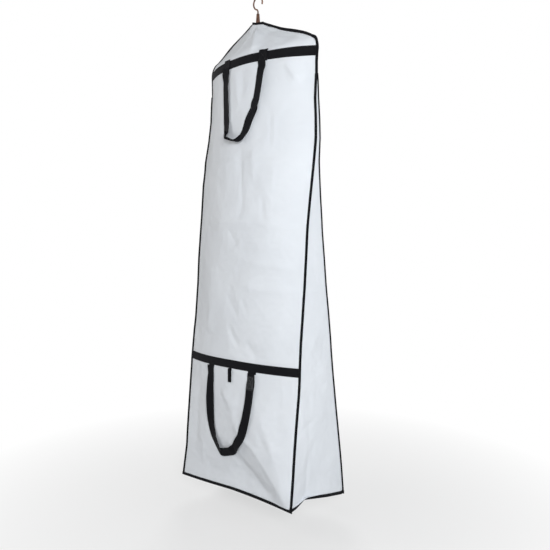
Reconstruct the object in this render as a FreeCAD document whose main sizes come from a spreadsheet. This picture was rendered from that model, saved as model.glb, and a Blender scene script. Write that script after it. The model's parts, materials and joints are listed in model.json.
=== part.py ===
import FreeCAD, Part

import math
import os

import Sketcher

# A full-length garment bag that hangs from a hanger's hook. The front panel carries two webbing
# handles, for carrying the bag folded, and the back opens with a zip from neck to foot.
#
# Millimetres. The origin is the middle of the hook's mouth, where the rail lies, X runs across the
# bag, -Y is its front and +Z is up. Every piece of the bag is drawn with heights counted from the
# bag's lower edge, and its Placement then lowers it below the hook.

SIZES = [
    ("bag_width", 592, "between the inner edges of the side bindings"),
    ("bag_height", 1800, "lower edge to the top of the neck"),
    ("bag_depth", 300, "front seam to back seam at the foot"),
    ("gusset_height", 1418, "where the front and back side seams meet"),
    ("corner_height", 1664, "shoulder corner, before it is rounded"),
    ("corner_radius", 45, "rounding of the shoulder corner"),
    ("neck_width", 60, "neck opening, across"),
    ("neck_depth", 24, "neck opening, front to back"),
    ("neck_band", 12, "height of the neck binding"),
    ("foot_bow", 2, "how far the panels bow past the foot seams"),
    ("chest_depth", 92, "front panel's middle from the shoulder seams' plane, at the upper band"),
    ("fabric", 1.2, "thickness of the panels"),
    ("seam_gap", 0.3, "clearance between sewn neighbours"),
    ("seam_space", 1.08, "between the panels' inner faces along the shoulder seams"),
    ("binding_width", 10, "bindings of the side and foot seams"),
    ("binding_thick", 2.4, "the same bindings, through"),
    ("shoulder_binding_width", 12, "binding over the shoulders"),
    ("shoulder_binding_thick", 5.2, "the same binding, through, over both side seams"),
    ("gusset_inset", 3, "gusset's face from the bindings' inner edge"),
    ("band_width", 32, "webbing bands across the front"),
    ("band_thick", 1.6, "the same bands, through"),
    ("upper_band_height", 1637, "middle of the upper band"),
    ("lower_band_height", 493, "middle of the lower band"),
    ("upper_handle_left", -80, "upper handle's left end from the bag's middle"),
    ("upper_handle_right", 105, "its right end"),
    ("upper_handle_drop", 275, "its lowest point below its ends"),
    ("lower_handle_left", -124, "lower handle's left end from the bag's middle"),
    ("lower_handle_right", 106, "its right end"),
    ("lower_handle_drop", 336, "its lowest point below its ends"),
    ("strap_width", 36, "webbing of the handles"),
    ("strap_thick", 2, "the same webbing, through"),
    ("strap_clearance", 1, "hanging strap from the panel"),
    ("sewn_overlap", 8, "sewn strap end past the band's edge"),
    ("lap_inset", 1, "edges of the joined webbing from the strap's edges"),
    ("turn_clearance", 0.5, "turning edge of a strap from its sewn end"),
    ("loop_width", 12, "hook loop, across"),
    ("loop_length", 54, "hook loop, hanging"),
    ("loop_depth", 7.4, "hook loop, over both layers"),
    ("loop_webbing", 1.4, "hook loop's webbing, through"),
    ("loop_place", -2, "hook loop's middle from the bag's middle"),
    ("zip_foot", 60, "zip's lower end above the bag's lower edge"),
    ("zip_margin", 26, "zip's upper end below the panel's top"),
    ("zip_opening", 24, "between the edges of the back panels"),
    ("tape_thick", 0.8, "zip tape"),
    ("tape_inset", 0.2, "zip tape below the panels' outer face"),
    ("teeth_gap", 1.6, "between the two rows of teeth"),
    ("teeth_width", 2, "one row of teeth"),
    ("teeth_thick", 2, "the rows, through"),
    ("zip_clearance", 0.3, "slider from teeth and stops"),
    ("slider_width", 10, "slider, across"),
    ("slider_length", 13, "slider, along the zip"),
    ("slider_plate", 1.3, "each plate of the slider"),
    ("slider_post", 1, "post between the plates, across"),
    ("bail_width", 7, "over the bail's two legs"),
    ("bail_leg", 1, "one leg of the bail"),
    ("bail_height", 3.4, "bail above the slider's plate"),
    ("bail_pin", 0.8, "radius of the bail's bar"),
    ("pull_eye", 2, "outer radius of the pull's eye"),
    ("pull_play", 0.1, "pull's eye round the bail's bar"),
    ("pull_length", 34, "bar's middle to the pull's end"),
    ("pull_width", 8, "zip pull, across"),
    ("pull_thick", 1.4, "zip pull, through"),
    ("stop_length", 4, "zip stops, along the zip"),
    ("hook_rise", 72, "hook's middle above the neck"),
    ("hook_wire", 3, "radius of the hook's wire"),
    ("hook_mouth", 20, "radius inside the hook"),
    ("hook_bend", 12, "bend of the shank into the hook"),
    ("hook_tip_angle", 15, "hook's tip below the horizontal"),
    ("hanger_span", 430, "hanger, tip to tip"),
    ("hanger_thick", 12, "hanger, front to back"),
    ("hanger_forward", 0, "hanger's middle plane in front of the hook"),
    ("hanger_arm", 34, "hanger's arm, from top to underside"),
    ("hanger_drop", 9.1, "hanger's arms below the shoulder seams, square to them"),
    ("hanger_tilt", 14, "how much further the hanger's tips are below the seams"),
    ("hanger_top", 30, "half width of the hanger's flat top"),
    ("hanger_edge", 2.5, "rounding of the hanger's long edges"),
    ("shank_depth", 26, "shank inside the hanger"),
    ("shank_play", 0.08, "shank in its collar and bore"),
    ("collar_radius", 10, "tapered collar round the shank, at its foot"),
    ("collar_top_radius", 5.8, "the same collar, at its top"),
    ("collar_height", 54, "the same collar"),
]

X, Y, Z = FreeCAD.Vector(1, 0, 0), FreeCAD.Vector(0, 1, 0), FreeCAD.Vector(0, 0, 1)
FRONT, BACK = -1, 1
LEFT, RIGHT = -1, 1
SIDE_NAMES = {LEFT: "left", RIGHT: "right"}

# Sections of a layer: where they fall round the shoulder corner, as shares of its arc, and how close
# two of them may come.
CORNER_SHARES = (0, 0.4, 0.75, 1)
LEAST_STEP = 3

doc = FreeCAD.newDocument("GarmentBag")
sheet = doc.addObject("Spreadsheet::Sheet", "Sizes")
for row, (alias, value, meaning) in enumerate(SIZES, start=1):
    sheet.set(f"A{row}", meaning)
    sheet.set(f"B{row}", str(value))
    sheet.setAlias(f"B{row}", alias)
doc.recompute()
size = {alias: float(getattr(sheet, alias)) for alias, _, _ in SIZES}
nodes = []

# Sizes that follow from the sheet, for the pieces that are drawn point by point.
half_bag = size["bag_width"] / 2
panel_top = size["bag_height"] - size["neck_band"]
panel_foot = size["binding_width"] + size["seam_gap"]
shoulder_angle = math.atan2(panel_top - size["corner_height"], half_bag - size["neck_width"] / 2)
corner_tangent = size["corner_radius"] * math.tan((math.pi / 2 - shoulder_angle) / 2)
corner_start = size["corner_height"] - corner_tangent
corner_end = size["corner_height"] + corner_tangent * math.sin(shoulder_angle)
band_half = size["band_width"] / 2
lower_band_edge = size["lower_band_height"] - band_half
upper_band_edge = size["upper_band_height"] - band_half
upper_band_top = size["upper_band_height"] + band_half

# The same, for the pieces whose sizes are expressions of the sheet.
PANEL_TOP = "(Sizes.bag_height - Sizes.neck_band)"
HALF_BAG = "Sizes.bag_width / 2"
SLOPE = f"atan2({PANEL_TOP} - Sizes.corner_height; {HALF_BAG} - Sizes.neck_width / 2)"
SLOPE_TAN = f"(({PANEL_TOP} - Sizes.corner_height) / ({HALF_BAG} - Sizes.neck_width / 2))"
DROP = "Sizes.bag_height + Sizes.hook_rise"
BACK_FALL = f"((Sizes.bag_depth / 2 + Sizes.foot_bow - Sizes.neck_depth / 2) / {PANEL_TOP})"
ZIP_LENGTH = f"(({PANEL_TOP} - Sizes.zip_margin - Sizes.zip_foot) * sqrt(1 + {BACK_FALL} ^ 2))"


def lowered():
    """Placement of a piece drawn with heights from the bag's lower edge."""
    down = FreeCAD.Vector(0, 0, -size["bag_height"] - size["hook_rise"])
    return FreeCAD.Placement(down, FreeCAD.Rotation())


def shaped(label, shape):
    """A piece whose curved shape is drawn in code, lowered below the hook."""
    piece = doc.addObject("Part::Feature", label)
    piece.Label = label
    piece.Shape = shape
    piece.Placement = lowered()
    nodes.append(piece)
    return piece


def bound(kind, name, **expressions):
    """A primitive or feature with its properties bound to the sheet."""
    made = doc.addObject(kind, name)
    for prop, expression in expressions.items():
        made.setExpression(prop, expression)
    return made


def moved(piece, **expressions):
    """Binds the coordinates of a piece's Placement to the sheet."""
    for axis, expression in expressions.items():
        piece.setExpression(f"Placement.Base.{axis}", expression)
    return piece


def kept(piece, label):
    piece.Label = label
    nodes.append(piece)
    return piece


def joined(name, parts):
    fuse = doc.addObject("Part::MultiFuse", name)
    fuse.Shapes = parts
    return fuse


def origin_plane(body, role):
    return next(item for item in body.Origin.OriginFeatures if item.Role == role)


def outline_pad(name, role, corners, depth, start="0"):
    """A body padded from an outline whose corners are pairs of expressions, depth deep either way of
    its middle, which lies at start along the plane's normal."""
    body = doc.addObject("PartDesign::Body", name)
    sketch = body.newObject("Sketcher::SketchObject", name + "_outline")
    sketch.AttachmentSupport = [(origin_plane(body, role), "")]
    sketch.MapMode = "FlatFace"
    sketch.setExpression("AttachmentOffset.Base.z", start)
    points = [FreeCAD.Vector(*(float(sheet.evalExpression(text)) for text in pair), 0) for pair in corners]
    for number, point in enumerate(points):
        sketch.addGeometry(Part.LineSegment(point, points[(number + 1) % len(points)]), False)
    for number, (point, pair) in enumerate(zip(points, corners)):
        follower = (number + 1) % len(points)
        sketch.addConstraint(Sketcher.Constraint("Coincident", number, 2, follower, 1))
        for direction, value, text in zip(("DistanceX", "DistanceY"), (point.x, point.y), pair):
            index = sketch.addConstraint(Sketcher.Constraint(direction, -1, 1, number, 1, value))
            sketch.setExpression(f"Constraints[{index}]", text)
    pad = body.newObject("PartDesign::Pad", name + "_pad")
    pad.Profile = sketch
    pad.SideType = "Symmetric"
    pad.setExpression("Length", depth)
    return body


# ---- The bag's surface -------------------------------------------------------------------------


def half_width(height):
    """Half the panels' width at a height: straight sides, a rounded corner, then the shoulder's slope."""
    if height <= corner_start:
        edge = half_bag
    elif height < corner_end:
        radius = size["corner_radius"]
        edge = half_bag - radius + math.sqrt(radius ** 2 - (height - corner_start) ** 2)
    else:
        edge = half_bag - (height - size["corner_height"]) / math.tan(shoulder_angle)
    return edge - size["seam_gap"]


def seam_depth(height):
    """The panels' edges from the bag's middle plane: they lean together up to the gusset's top."""
    leaning = size["bag_depth"] / 2 * (1 - height / size["gusset_height"])
    return max(leaning, (size["seam_space"] + size["fabric"]) / 2)


def between(height, low, low_value, high, high_value):
    return low_value + (high_value - low_value) * (height - low) / (high - low)


def reach(side, height):
    """The panel's middle line, from the bag's middle plane."""
    foot = size["bag_depth"] / 2 + size["foot_bow"]
    neck = size["neck_depth"] / 2
    if side == BACK:
        return between(height, 0, foot, panel_top, neck)
    if height <= lower_band_edge:
        return foot
    if height <= upper_band_top:
        return between(height, lower_band_edge, foot, upper_band_top, size["chest_depth"])
    return between(height, upper_band_top, size["chest_depth"], panel_top, neck)


def surface(side, x, height, outward=0.0):
    """Y of the panel's outer face, or of a layer that lies outward of it. Each level is an arc through
    both seams and the middle line."""
    seam = seam_depth(height) + size["fabric"] / 2
    bow = reach(side, height) - seam
    radius = (half_width(height) ** 2 + bow ** 2) / (2 * bow)
    return side * (reach(side, height) - radius + math.sqrt((radius + outward) ** 2 - x ** 2))


def levels(low, high):
    """The heights where a layer needs a section: its ends and each change of the surface between them."""
    turns = [lower_band_edge, lower_band_edge + size["band_width"], size["gusset_height"]]
    turns += [upper_band_edge, upper_band_top]
    for share in CORNER_SHARES:
        angle = share * (math.pi / 2 - shoulder_angle)
        turns.append(corner_start + size["corner_radius"] * math.sin(angle))
    chosen = [low]
    for turn in sorted(turns):
        if turn - chosen[-1] > LEAST_STEP and high - turn > LEAST_STEP:
            chosen.append(turn)
    return chosen + [high]


def layer(side, low, high, span, outward, thick):
    """A closed solid that follows the surface from low to high. span gives its two edges at a height."""
    sections = []
    for height in levels(low, high):
        start, end = span(height)
        rims = []
        for offset in (outward, outward - thick):
            across = (start, (start + end) / 2, end)
            rims.append([FreeCAD.Vector(x, surface(side, x, height, offset), height) for x in across])
        outer, inner = rims
        sections.append(Part.Wire([
            Part.Arc(*outer).toShape(),
            Part.makeLine(outer[2], inner[2]),
            Part.Arc(*reversed(inner)).toShape(),
            Part.makeLine(inner[0], outer[0]),
        ]))
    return Part.makeLoft(sections, True, True)


def whole_width(height):
    return -half_width(height), half_width(height)


def left_half(height):
    return -half_width(height), -size["zip_opening"] / 2


def right_half(height):
    return size["zip_opening"] / 2, half_width(height)


def make_panels():
    fabric = size["fabric"]
    shaped("front_panel", layer(FRONT, panel_foot, panel_top, whole_width, 0, fabric))
    shaped("back_panel_left", layer(BACK, panel_foot, panel_top, left_half, 0, fabric))
    shaped("back_panel_right", layer(BACK, panel_foot, panel_top, right_half, 0, fabric))


def make_gussets():
    """Flat triangles between the side bindings."""
    low = "Sizes.binding_width + Sizes.seam_gap"
    inset = "(Sizes.binding_thick / 2 + Sizes.seam_gap)"
    seam_at_foot = f"(Sizes.bag_depth / 2 * (1 - ({low}) / Sizes.gusset_height) - {inset})"
    tip = f"Sizes.gusset_height * (1 - ({inset} + Sizes.seam_gap) * 2 / Sizes.bag_depth)"
    corners = [
        (f"-{seam_at_foot}", low),
        (seam_at_foot, low),
        ("Sizes.seam_gap", tip),
        ("-Sizes.seam_gap", tip),
    ]
    for side, name in SIDE_NAMES.items():
        place = f"{side} * ({HALF_BAG} + Sizes.gusset_inset + Sizes.fabric / 2)"
        gusset = outline_pad(f"gusset_{name}", "YZ_Plane", corners, "Sizes.fabric", place)
        kept(moved(gusset, z=f"-({DROP})"), f"gusset_{name}")


def make_foot():
    """The bottom panel, inside the four foot bindings."""
    across = f"({HALF_BAG} + Sizes.gusset_inset - Sizes.seam_gap)"
    top = "(Sizes.binding_width + Sizes.seam_gap + Sizes.fabric)"
    deep = (f"(Sizes.bag_depth / 2 * (1 - {top} / Sizes.gusset_height) "
            "- Sizes.binding_thick / 2 - Sizes.seam_gap)")
    panel = bound("Part::Box", "bottom_panel", Length=f"2 * {across}", Width=f"2 * {deep}",
                  Height="Sizes.fabric")
    moved(panel, x=f"-{across}", y=f"-{deep}", z=f"Sizes.binding_width + Sizes.seam_gap - ({DROP})")
    kept(panel, "bottom_panel")

    outer = f"({HALF_BAG} + Sizes.binding_width)"
    for side, name in ((FRONT, "front"), (BACK, "back")):
        binding = bound("Part::Box", f"foot_binding_{name}", Length=f"2 * {outer}",
                        Width="Sizes.binding_thick", Height="Sizes.binding_width")
        middle = f"{side} * Sizes.bag_depth / 2 - Sizes.binding_thick / 2"
        moved(binding, x=f"-{outer}", y=middle, z=f"-({DROP})")
        kept(binding, f"foot_binding_{name}")

    half_run = "(Sizes.bag_depth / 2 - Sizes.binding_thick / 2 - Sizes.seam_gap)"
    for side, name in SIDE_NAMES.items():
        binding = bound("Part::Box", f"foot_binding_{name}", Length="Sizes.binding_thick",
                        Width=f"2 * {half_run}", Height="Sizes.binding_width")
        middle = f"{side} * ({HALF_BAG} + Sizes.gusset_inset + Sizes.fabric / 2) - Sizes.binding_thick / 2"
        moved(binding, x=middle, y=f"-{half_run}", z=f"-({DROP})")
        kept(binding, f"foot_binding_{name}")


def make_side_bindings():
    """Four straight strips up the gussets' edges, to where the strips of one side meet."""
    low = "(Sizes.binding_width + Sizes.seam_gap)"
    half = "(Sizes.binding_thick / 2)"
    high = f"(Sizes.gusset_height * (1 - ({half} + Sizes.seam_gap / 2) * 2 / Sizes.bag_depth))"
    for face, face_name in ((FRONT, "front"), (BACK, "back")):
        at_low = f"{face} * Sizes.bag_depth / 2 * (1 - {low} / Sizes.gusset_height)"
        at_high = f"{face} * ({half} + Sizes.seam_gap / 2)"
        corners = [
            (f"{at_low} - {half}", low),
            (f"{at_low} + {half}", low),
            (f"{at_high} + {half}", high),
            (f"{at_high} - {half}", high),
        ]
        for side, name in SIDE_NAMES.items():
            label = f"{face_name}_binding_{name}"
            place = f"{side} * ({HALF_BAG} + Sizes.binding_width / 2)"
            binding = outline_pad(label, "YZ_Plane", corners, "Sizes.binding_width", place)
            kept(moved(binding, z=f"-({DROP})"), label)


def make_shoulder_bindings():
    """From the gusset's top up the side, round the shoulder corner and along the slope to the neck."""
    half = "(Sizes.binding_thick / 2)"
    low = f"Sizes.gusset_height * (1 - ({half} + Sizes.seam_gap / 2) * 2 / Sizes.bag_depth) + Sizes.seam_gap"
    width = "Sizes.shoulder_binding_width"
    for side, name in SIDE_NAMES.items():
        inner = f"{side} * {HALF_BAG}"
        outer = f"{side} * ({HALF_BAG} + {width})"
        neck = f"{side} * Sizes.neck_width / 2"
        corners = [
            (inner, low),
            (outer, low),
            (outer, f"Sizes.corner_height + {width} * (1 - sin({SLOPE})) / cos({SLOPE})"),
            (neck, f"{PANEL_TOP} + {width} / cos({SLOPE})"),
            (neck, PANEL_TOP),
            (inner, "Sizes.corner_height"),
        ]
        label = f"shoulder_binding_{name}"
        body = outline_pad(label, "XZ_Plane", corners, "Sizes.shoulder_binding_thick")
        inner_x = side * half_bag
        outer_x = side * (half_bag + size["shoulder_binding_width"])
        radii = ((inner_x, "Sizes.corner_radius"), (outer_x, f"Sizes.corner_radius + {width}"))
        for corner_x, radius in radii:
            doc.recompute()
            last = body.Tip
            fillet = body.newObject("PartDesign::Fillet", f"{label}_round")
            fillet.Base = (last, [edge_name(last.Shape, corner_x)])
            fillet.setExpression("Radius", radius)
            body.Tip = fillet
        kept(moved(body, z=f"-({DROP})"), label)


def edge_name(shape, x):
    """The edge along Y that stands highest at this x."""
    found = []
    for number, edge in enumerate(shape.Edges, start=1):
        box = edge.BoundBox
        if box.YLength > 1 and box.XLength < 0.001 and abs(box.Center.x - x) < 0.001:
            found.append((box.Center.z, f"Edge{number}"))
    return max(found)[1]


def make_neck_binding():
    """A lens-shaped ring round the neck opening, with a mitred corner at each end."""
    half = size["neck_width"] / 2 - size["seam_gap"]
    thick = size["binding_thick"]
    wires = []
    for inset in (0, thick):
        depth = size["neck_depth"] / 2 + thick / 2 - inset
        tip = FreeCAD.Vector(half - inset * 2, 0, panel_top + size["seam_gap"])
        other = FreeCAD.Vector(-tip.x, 0, tip.z)
        front = Part.Arc(other, FreeCAD.Vector(0, -depth, tip.z), tip).toShape()
        back = Part.Arc(tip, FreeCAD.Vector(0, depth, tip.z), other).toShape()
        wires.append(Part.Wire([front, back]))
    ring = Part.Face(wires[0]).cut(Part.Face(wires[1]))
    shaped("neck_binding", ring.Faces[0].extrude(Z * (size["neck_band"] - size["seam_gap"])))


def make_bands():
    outward = size["seam_gap"] + size["band_thick"]
    for name, low in (("upper_band", upper_band_edge), ("lower_band", lower_band_edge)):
        shaped(name, layer(FRONT, low, low + size["band_width"], whole_width, outward, size["band_thick"]))


# ---- Handles -----------------------------------------------------------------------------------

# Each loop's middle line, from its left sewn end round to the right one: the share of the way across
# between the ends, the share of the handle's drop, and how far the webbing is turned on edge, in degrees.
UPPER_LOOP = [
    (0, 0.127, 0), (-0.011, 0.4, 0), (-0.022, 0.691, 5), (-0.016, 0.844, 25), (0.032, 0.953, 60),
    (0.173, 1, 75), (0.357, 0.989, 70), (0.519, 0.916, 45), (0.659, 0.785, 20), (0.789, 0.647, 8),
    (0.865, 0.527, 3), (0.919, 0.364, 0), (0.973, 0.145, 0),
]
LOWER_LOOP = [
    (-0.004, 0.104, 0), (-0.009, 0.268, 3), (-0.009, 0.446, 10), (0.009, 0.655, 22), (0.048, 0.81, 36),
    (0.13, 0.946, 45), (0.261, 1, 36), (0.409, 0.994, 32), (0.557, 0.946, 26), (0.678, 0.839, 16),
    (0.783, 0.69, 8), (0.87, 0.521, 3), (0.939, 0.327, 0), (0.97, 0.179, 0), (0.983, 0.119, 0),
]

# The strap's sections that the lap covers, counted from its left end.
UPPER_LAP = slice(10, 13)
LOWER_LAP = slice(15, 18)


def turn_line(ends, height, outward):
    """The straight line about which a handle turns: just in front of its two sewn ends."""
    half = size["strap_width"] / 2
    standoff = size["strap_thick"] / 2 + size["turn_clearance"]
    points = []
    for middle in ends:
        nearest = middle - math.copysign(half, middle)
        points.append(FreeCAD.Vector(nearest, surface(FRONT, nearest, height, outward) - standoff, height))
    return points


def on_line(line, x):
    start, end = line
    return start + (end - start) * ((x - start.x) / (end.x - start.x))


def strap_sections(stations, line, rise=0.0, inset=0.0):
    """One rectangle for each station. The strap's outer edge lies near the panel, and its inner edge
    stands out where the webbing is turned. A second layer rises from the first and is inset from it."""
    thick = size["strap_thick"]
    width = size["strap_width"]
    sections = []
    for number, (x, height, turned) in enumerate(stations):
        before = stations[max(number - 1, 0)]
        after = stations[min(number + 1, len(stations) - 1)]
        along = FreeCAD.Vector(after[0] - before[0], 0, after[1] - before[1]).normalize()
        inward = FreeCAD.Vector(-along.z, 0, along.x)
        half = inward * (width / 2 * math.cos(math.radians(turned)))
        middle = FreeCAD.Vector(x, 0, height)
        backs = []
        for point, stand in ((middle + half, width * math.sin(math.radians(turned))), (middle - half, 0)):
            hanging = surface(FRONT, point.x, point.z, size["strap_clearance"]) - stand
            if height > line[0].z - size["strap_width"] / 2:
                hanging = on_line(line, point.x).y + thick / 2
            backs.append(FreeCAD.Vector(point.x, hanging, point.z))
        across = (backs[1] - backs[0]).normalize()
        outward = across.cross(along).normalize()
        first = backs[0] + across * inset + outward * rise
        last = backs[1] - across * inset + outward * rise
        corners = [first, last, last + outward * thick, first + outward * thick]
        sections.append(Part.makePolygon(corners + corners[:1]))
    return sections


def make_handle(prefix, loop, turn_height, end_span, end_outward, lap):
    """One handle: two sewn ends that stay on the bag, the hanging strap, and the lap where its webbing
    is joined. The strap turns about a line at turn_height."""
    thick = size["strap_thick"]
    half = size["strap_width"] / 2
    ends = (size[f"{prefix}_handle_left"], size[f"{prefix}_handle_right"])
    drop = size[f"{prefix}_handle_drop"]
    for middle, name in zip(ends, SIDE_NAMES.values()):
        edges = (middle - half, middle + half)
        end = layer(FRONT, *end_span, lambda height: edges, end_outward, thick)
        shaped(f"{prefix}_handle_end_{name}", end)

    line = turn_line(ends, turn_height, end_outward)
    stations = [(ends[0], turn_height, 0), (ends[0], turn_height - half / 2, 0)]
    for across, down, turned in loop:
        stations.append((ends[0] + across * (ends[1] - ends[0]), turn_height - down * drop, turned))
    stations += [(ends[1], turn_height - half / 2, 0), (ends[1], turn_height, 0)]
    strap = Part.makeLoft(strap_sections(stations, line), True, True)
    for middle in ends:
        start = on_line(line, middle - half)
        run = on_line(line, middle + half) - start
        strap = strap.fuse(Part.makeCylinder(thick / 2, run.Length, start, run))
    shaped(f"{prefix}_handle_strap", strap)

    layers = strap_sections(stations, line, rise=thick + size["seam_gap"], inset=size["lap_inset"])
    shaped(f"{prefix}_handle_lap", Part.makeLoft(layers[lap], True, True))
    return line


def make_handles():
    thick = size["strap_thick"]
    gap = size["seam_gap"]
    over_band = gap + size["band_thick"] + gap + thick
    turn = upper_band_edge + thick
    span = (upper_band_edge - thick, upper_band_top + size["sewn_overlap"])
    upper = make_handle("upper", UPPER_LOOP, turn, span, over_band, UPPER_LAP)

    under_band = gap + thick
    turn = lower_band_edge - size["sewn_overlap"] + thick
    span = (lower_band_edge - size["sewn_overlap"], lower_band_edge - gap)
    lower = make_handle("lower", LOWER_LOOP, turn, span, under_band, LOWER_LAP)
    return upper, lower


def stadium(top, radius, length):
    """A round-ended outline across X, hanging from top, the middle of its upper end."""
    foot = top - Z * length
    side = Y * radius
    return Part.Wire([
        Part.Arc(top - side, top + Z * radius, top + side).toShape(),
        Part.makeLine(top + side, foot + side),
        Part.Arc(foot + side, foot - Z * radius, foot - side).toShape(),
        Part.makeLine(foot - side, top - side),
    ])


def make_hook_loop():
    """The small loop below the lower band, and the stub it is sewn to."""
    half = size["loop_width"] / 2
    middle = size["loop_place"]
    outward = size["seam_gap"] + size["band_thick"]
    radius = size["loop_depth"] / 2
    high = lower_band_edge - size["seam_gap"]
    stub = layer(FRONT, high - size["sewn_overlap"], high, lambda h: (middle - half, middle + half),
                 outward, size["band_thick"])
    shaped("hook_loop_end", stub)

    height = lower_band_edge - radius
    nearest = max(surface(FRONT, x, height, outward) * FRONT for x in (middle - half, middle, middle + half))
    top = FreeCAD.Vector(middle - half, -nearest - radius - size["turn_clearance"], height)
    straight = size["loop_length"] - 2 * radius
    inner = Part.Face(stadium(top, radius - size["loop_webbing"], straight))
    outline = Part.Face(stadium(top, radius, straight)).cut(inner)
    shaped("hook_loop", outline.Faces[0].extrude(X * size["loop_width"]))
    return [top, top + X * size["loop_width"]]


# ---- Zip ---------------------------------------------------------------------------------------


ZIP_FRAME = (
    f"placement(vector(0; Sizes.bag_depth / 2 + Sizes.foot_bow - Sizes.zip_foot * {BACK_FALL}; "
    f"Sizes.zip_foot - ({DROP})); rotation(0; 0; atan({BACK_FALL})))"
)


def on_zip(piece, x, out, up, pitch=0):
    """Places a piece on the straight middle line of the back: x across, out from the panel's face and
    up the zip."""
    spot = f"placement(vector({x}; {out}; {up}); rotation(0; {pitch}; 0))"
    piece.setExpression("Placement", f"{ZIP_FRAME} * {spot}")
    return piece


def zip_box(name, x, out, up, wide, thick, tall):
    """A box on the zip, from its lowest corner."""
    return on_zip(bound("Part::Box", name, Length=wide, Width=thick, Height=tall), x, out, up)


def make_zip():
    teeth_out = "(-Sizes.tape_inset - Sizes.tape_thick / 2 - Sizes.teeth_thick / 2)"
    tape_foot = f"(-(Sizes.zip_foot - Sizes.binding_width - Sizes.teeth_thick))"
    tape_top = f"({ZIP_LENGTH} + Sizes.zip_margin - Sizes.teeth_thick)"
    row_edge = "(Sizes.teeth_gap / 2 + Sizes.teeth_width)"
    tape_wide = f"(Sizes.zip_opening / 2 - Sizes.seam_gap * 2 - {row_edge})"
    tape_x = {LEFT: f"-{row_edge} - Sizes.seam_gap - {tape_wide}", RIGHT: f"{row_edge} + Sizes.seam_gap"}
    row_x = {LEFT: f"-{row_edge}", RIGHT: "Sizes.teeth_gap / 2"}
    stops = []
    for side, name in SIDE_NAMES.items():
        tape = zip_box(f"tape_box_{name}", tape_x[side], "-Sizes.tape_inset - Sizes.tape_thick", tape_foot,
                       tape_wide, "Sizes.tape_thick", f"{tape_top} - {tape_foot}")
        kept(tape, f"zip_tape_{name}")
        row = zip_box(f"row_box_{name}", row_x[side], teeth_out, "0",
                      "Sizes.teeth_width", "Sizes.teeth_thick", ZIP_LENGTH)
        kept(row, f"zip_teeth_{name}")
        stops.append(zip_box(f"top_stop_{name}", row_x[side], teeth_out, f"{ZIP_LENGTH} + Sizes.seam_gap",
                             "Sizes.teeth_width", "Sizes.teeth_thick", "Sizes.stop_length"))
    kept(joined("top_stops", stops), "zip_top_stops")
    foot = zip_box("foot_stop", f"-{row_edge}", teeth_out, "-Sizes.seam_gap - Sizes.stop_length",
                   f"2 * {row_edge}", "Sizes.teeth_thick", "Sizes.stop_length")
    kept(foot, "zip_bottom_stop")


def make_slider():
    """Two plates joined by a post that runs between the rows, with a bail for the pull."""
    inner = "(-Sizes.tape_inset - Sizes.tape_thick / 2 - Sizes.teeth_thick / 2 - Sizes.zip_clearance)"
    outer = f"({inner} + Sizes.teeth_thick + 2 * Sizes.zip_clearance)"
    low = f"({ZIP_LENGTH} - Sizes.slider_length)"
    half = "Sizes.slider_width / 2"
    bar_up = f"({low} + Sizes.slider_length / 2)"
    bar_out = f"({outer} + Sizes.slider_plate + Sizes.bail_height - Sizes.bail_pin)"
    leg_long = "(2 * Sizes.bail_pin)"
    parts = [
        zip_box("outer_plate", f"-{half}", outer, low, "Sizes.slider_width", "Sizes.slider_plate",
                "Sizes.slider_length"),
        zip_box("inner_plate", f"-{half}", f"{inner} - Sizes.slider_plate", low, "Sizes.slider_width",
                "Sizes.slider_plate", "Sizes.slider_length"),
        zip_box("post", "-Sizes.slider_post / 2", inner, f"{low} + Sizes.slider_length / 2",
                "Sizes.slider_post", f"{outer} - {inner}", "Sizes.slider_length / 2"),
    ]
    leg_places = ("-Sizes.bail_width / 2", "Sizes.bail_width / 2 - Sizes.bail_leg")
    for name, leg_x in zip(SIDE_NAMES.values(), leg_places):
        parts.append(zip_box(f"bail_leg_{name}", leg_x, f"{outer} + Sizes.slider_plate",
                             f"{bar_up} - Sizes.bail_pin", "Sizes.bail_leg", "Sizes.bail_height", leg_long))
    bar = bound("Part::Cylinder", "bail_bar", Radius="Sizes.bail_pin", Height="Sizes.bail_width")
    parts.append(on_zip(bar, "-Sizes.bail_width / 2", bar_out, bar_up, 90))
    kept(joined("slider", parts), "zip_slider")

    inside = "(Sizes.bail_width / 2 - Sizes.bail_leg - Sizes.zip_clearance)"
    eye = bound("Part::Cylinder", "pull_eye_round", Radius="Sizes.pull_eye", Height=f"2 * {inside}")
    hole = bound("Part::Cylinder", "pull_eye_hole", Radius="Sizes.bail_pin + Sizes.pull_play",
                 Height=f"2 * {inside}")
    for round_piece in (eye, hole):
        on_zip(round_piece, f"-{inside}", bar_out, bar_up, 90)
    thick_in = f"{bar_out} - Sizes.pull_thick / 2"
    shoulder = "(2 * Sizes.pull_eye)"
    neck = zip_box("pull_neck", f"-{inside}", thick_in, f"{bar_up} - {shoulder}", f"2 * {inside}",
                   "Sizes.pull_thick", shoulder)
    tab = zip_box("pull_tab", "-Sizes.pull_width / 2", thick_in, f"{bar_up} - Sizes.pull_length",
                  "Sizes.pull_width", "Sizes.pull_thick", f"Sizes.pull_length - {shoulder}")
    pull = doc.addObject("Part::Cut", "pull")
    pull.Base = joined("pull_blank", [eye, neck, tab])
    pull.Tool = hole
    kept(pull, "zip_pull")


# ---- Hanger ------------------------------------------------------------------------------------


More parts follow.
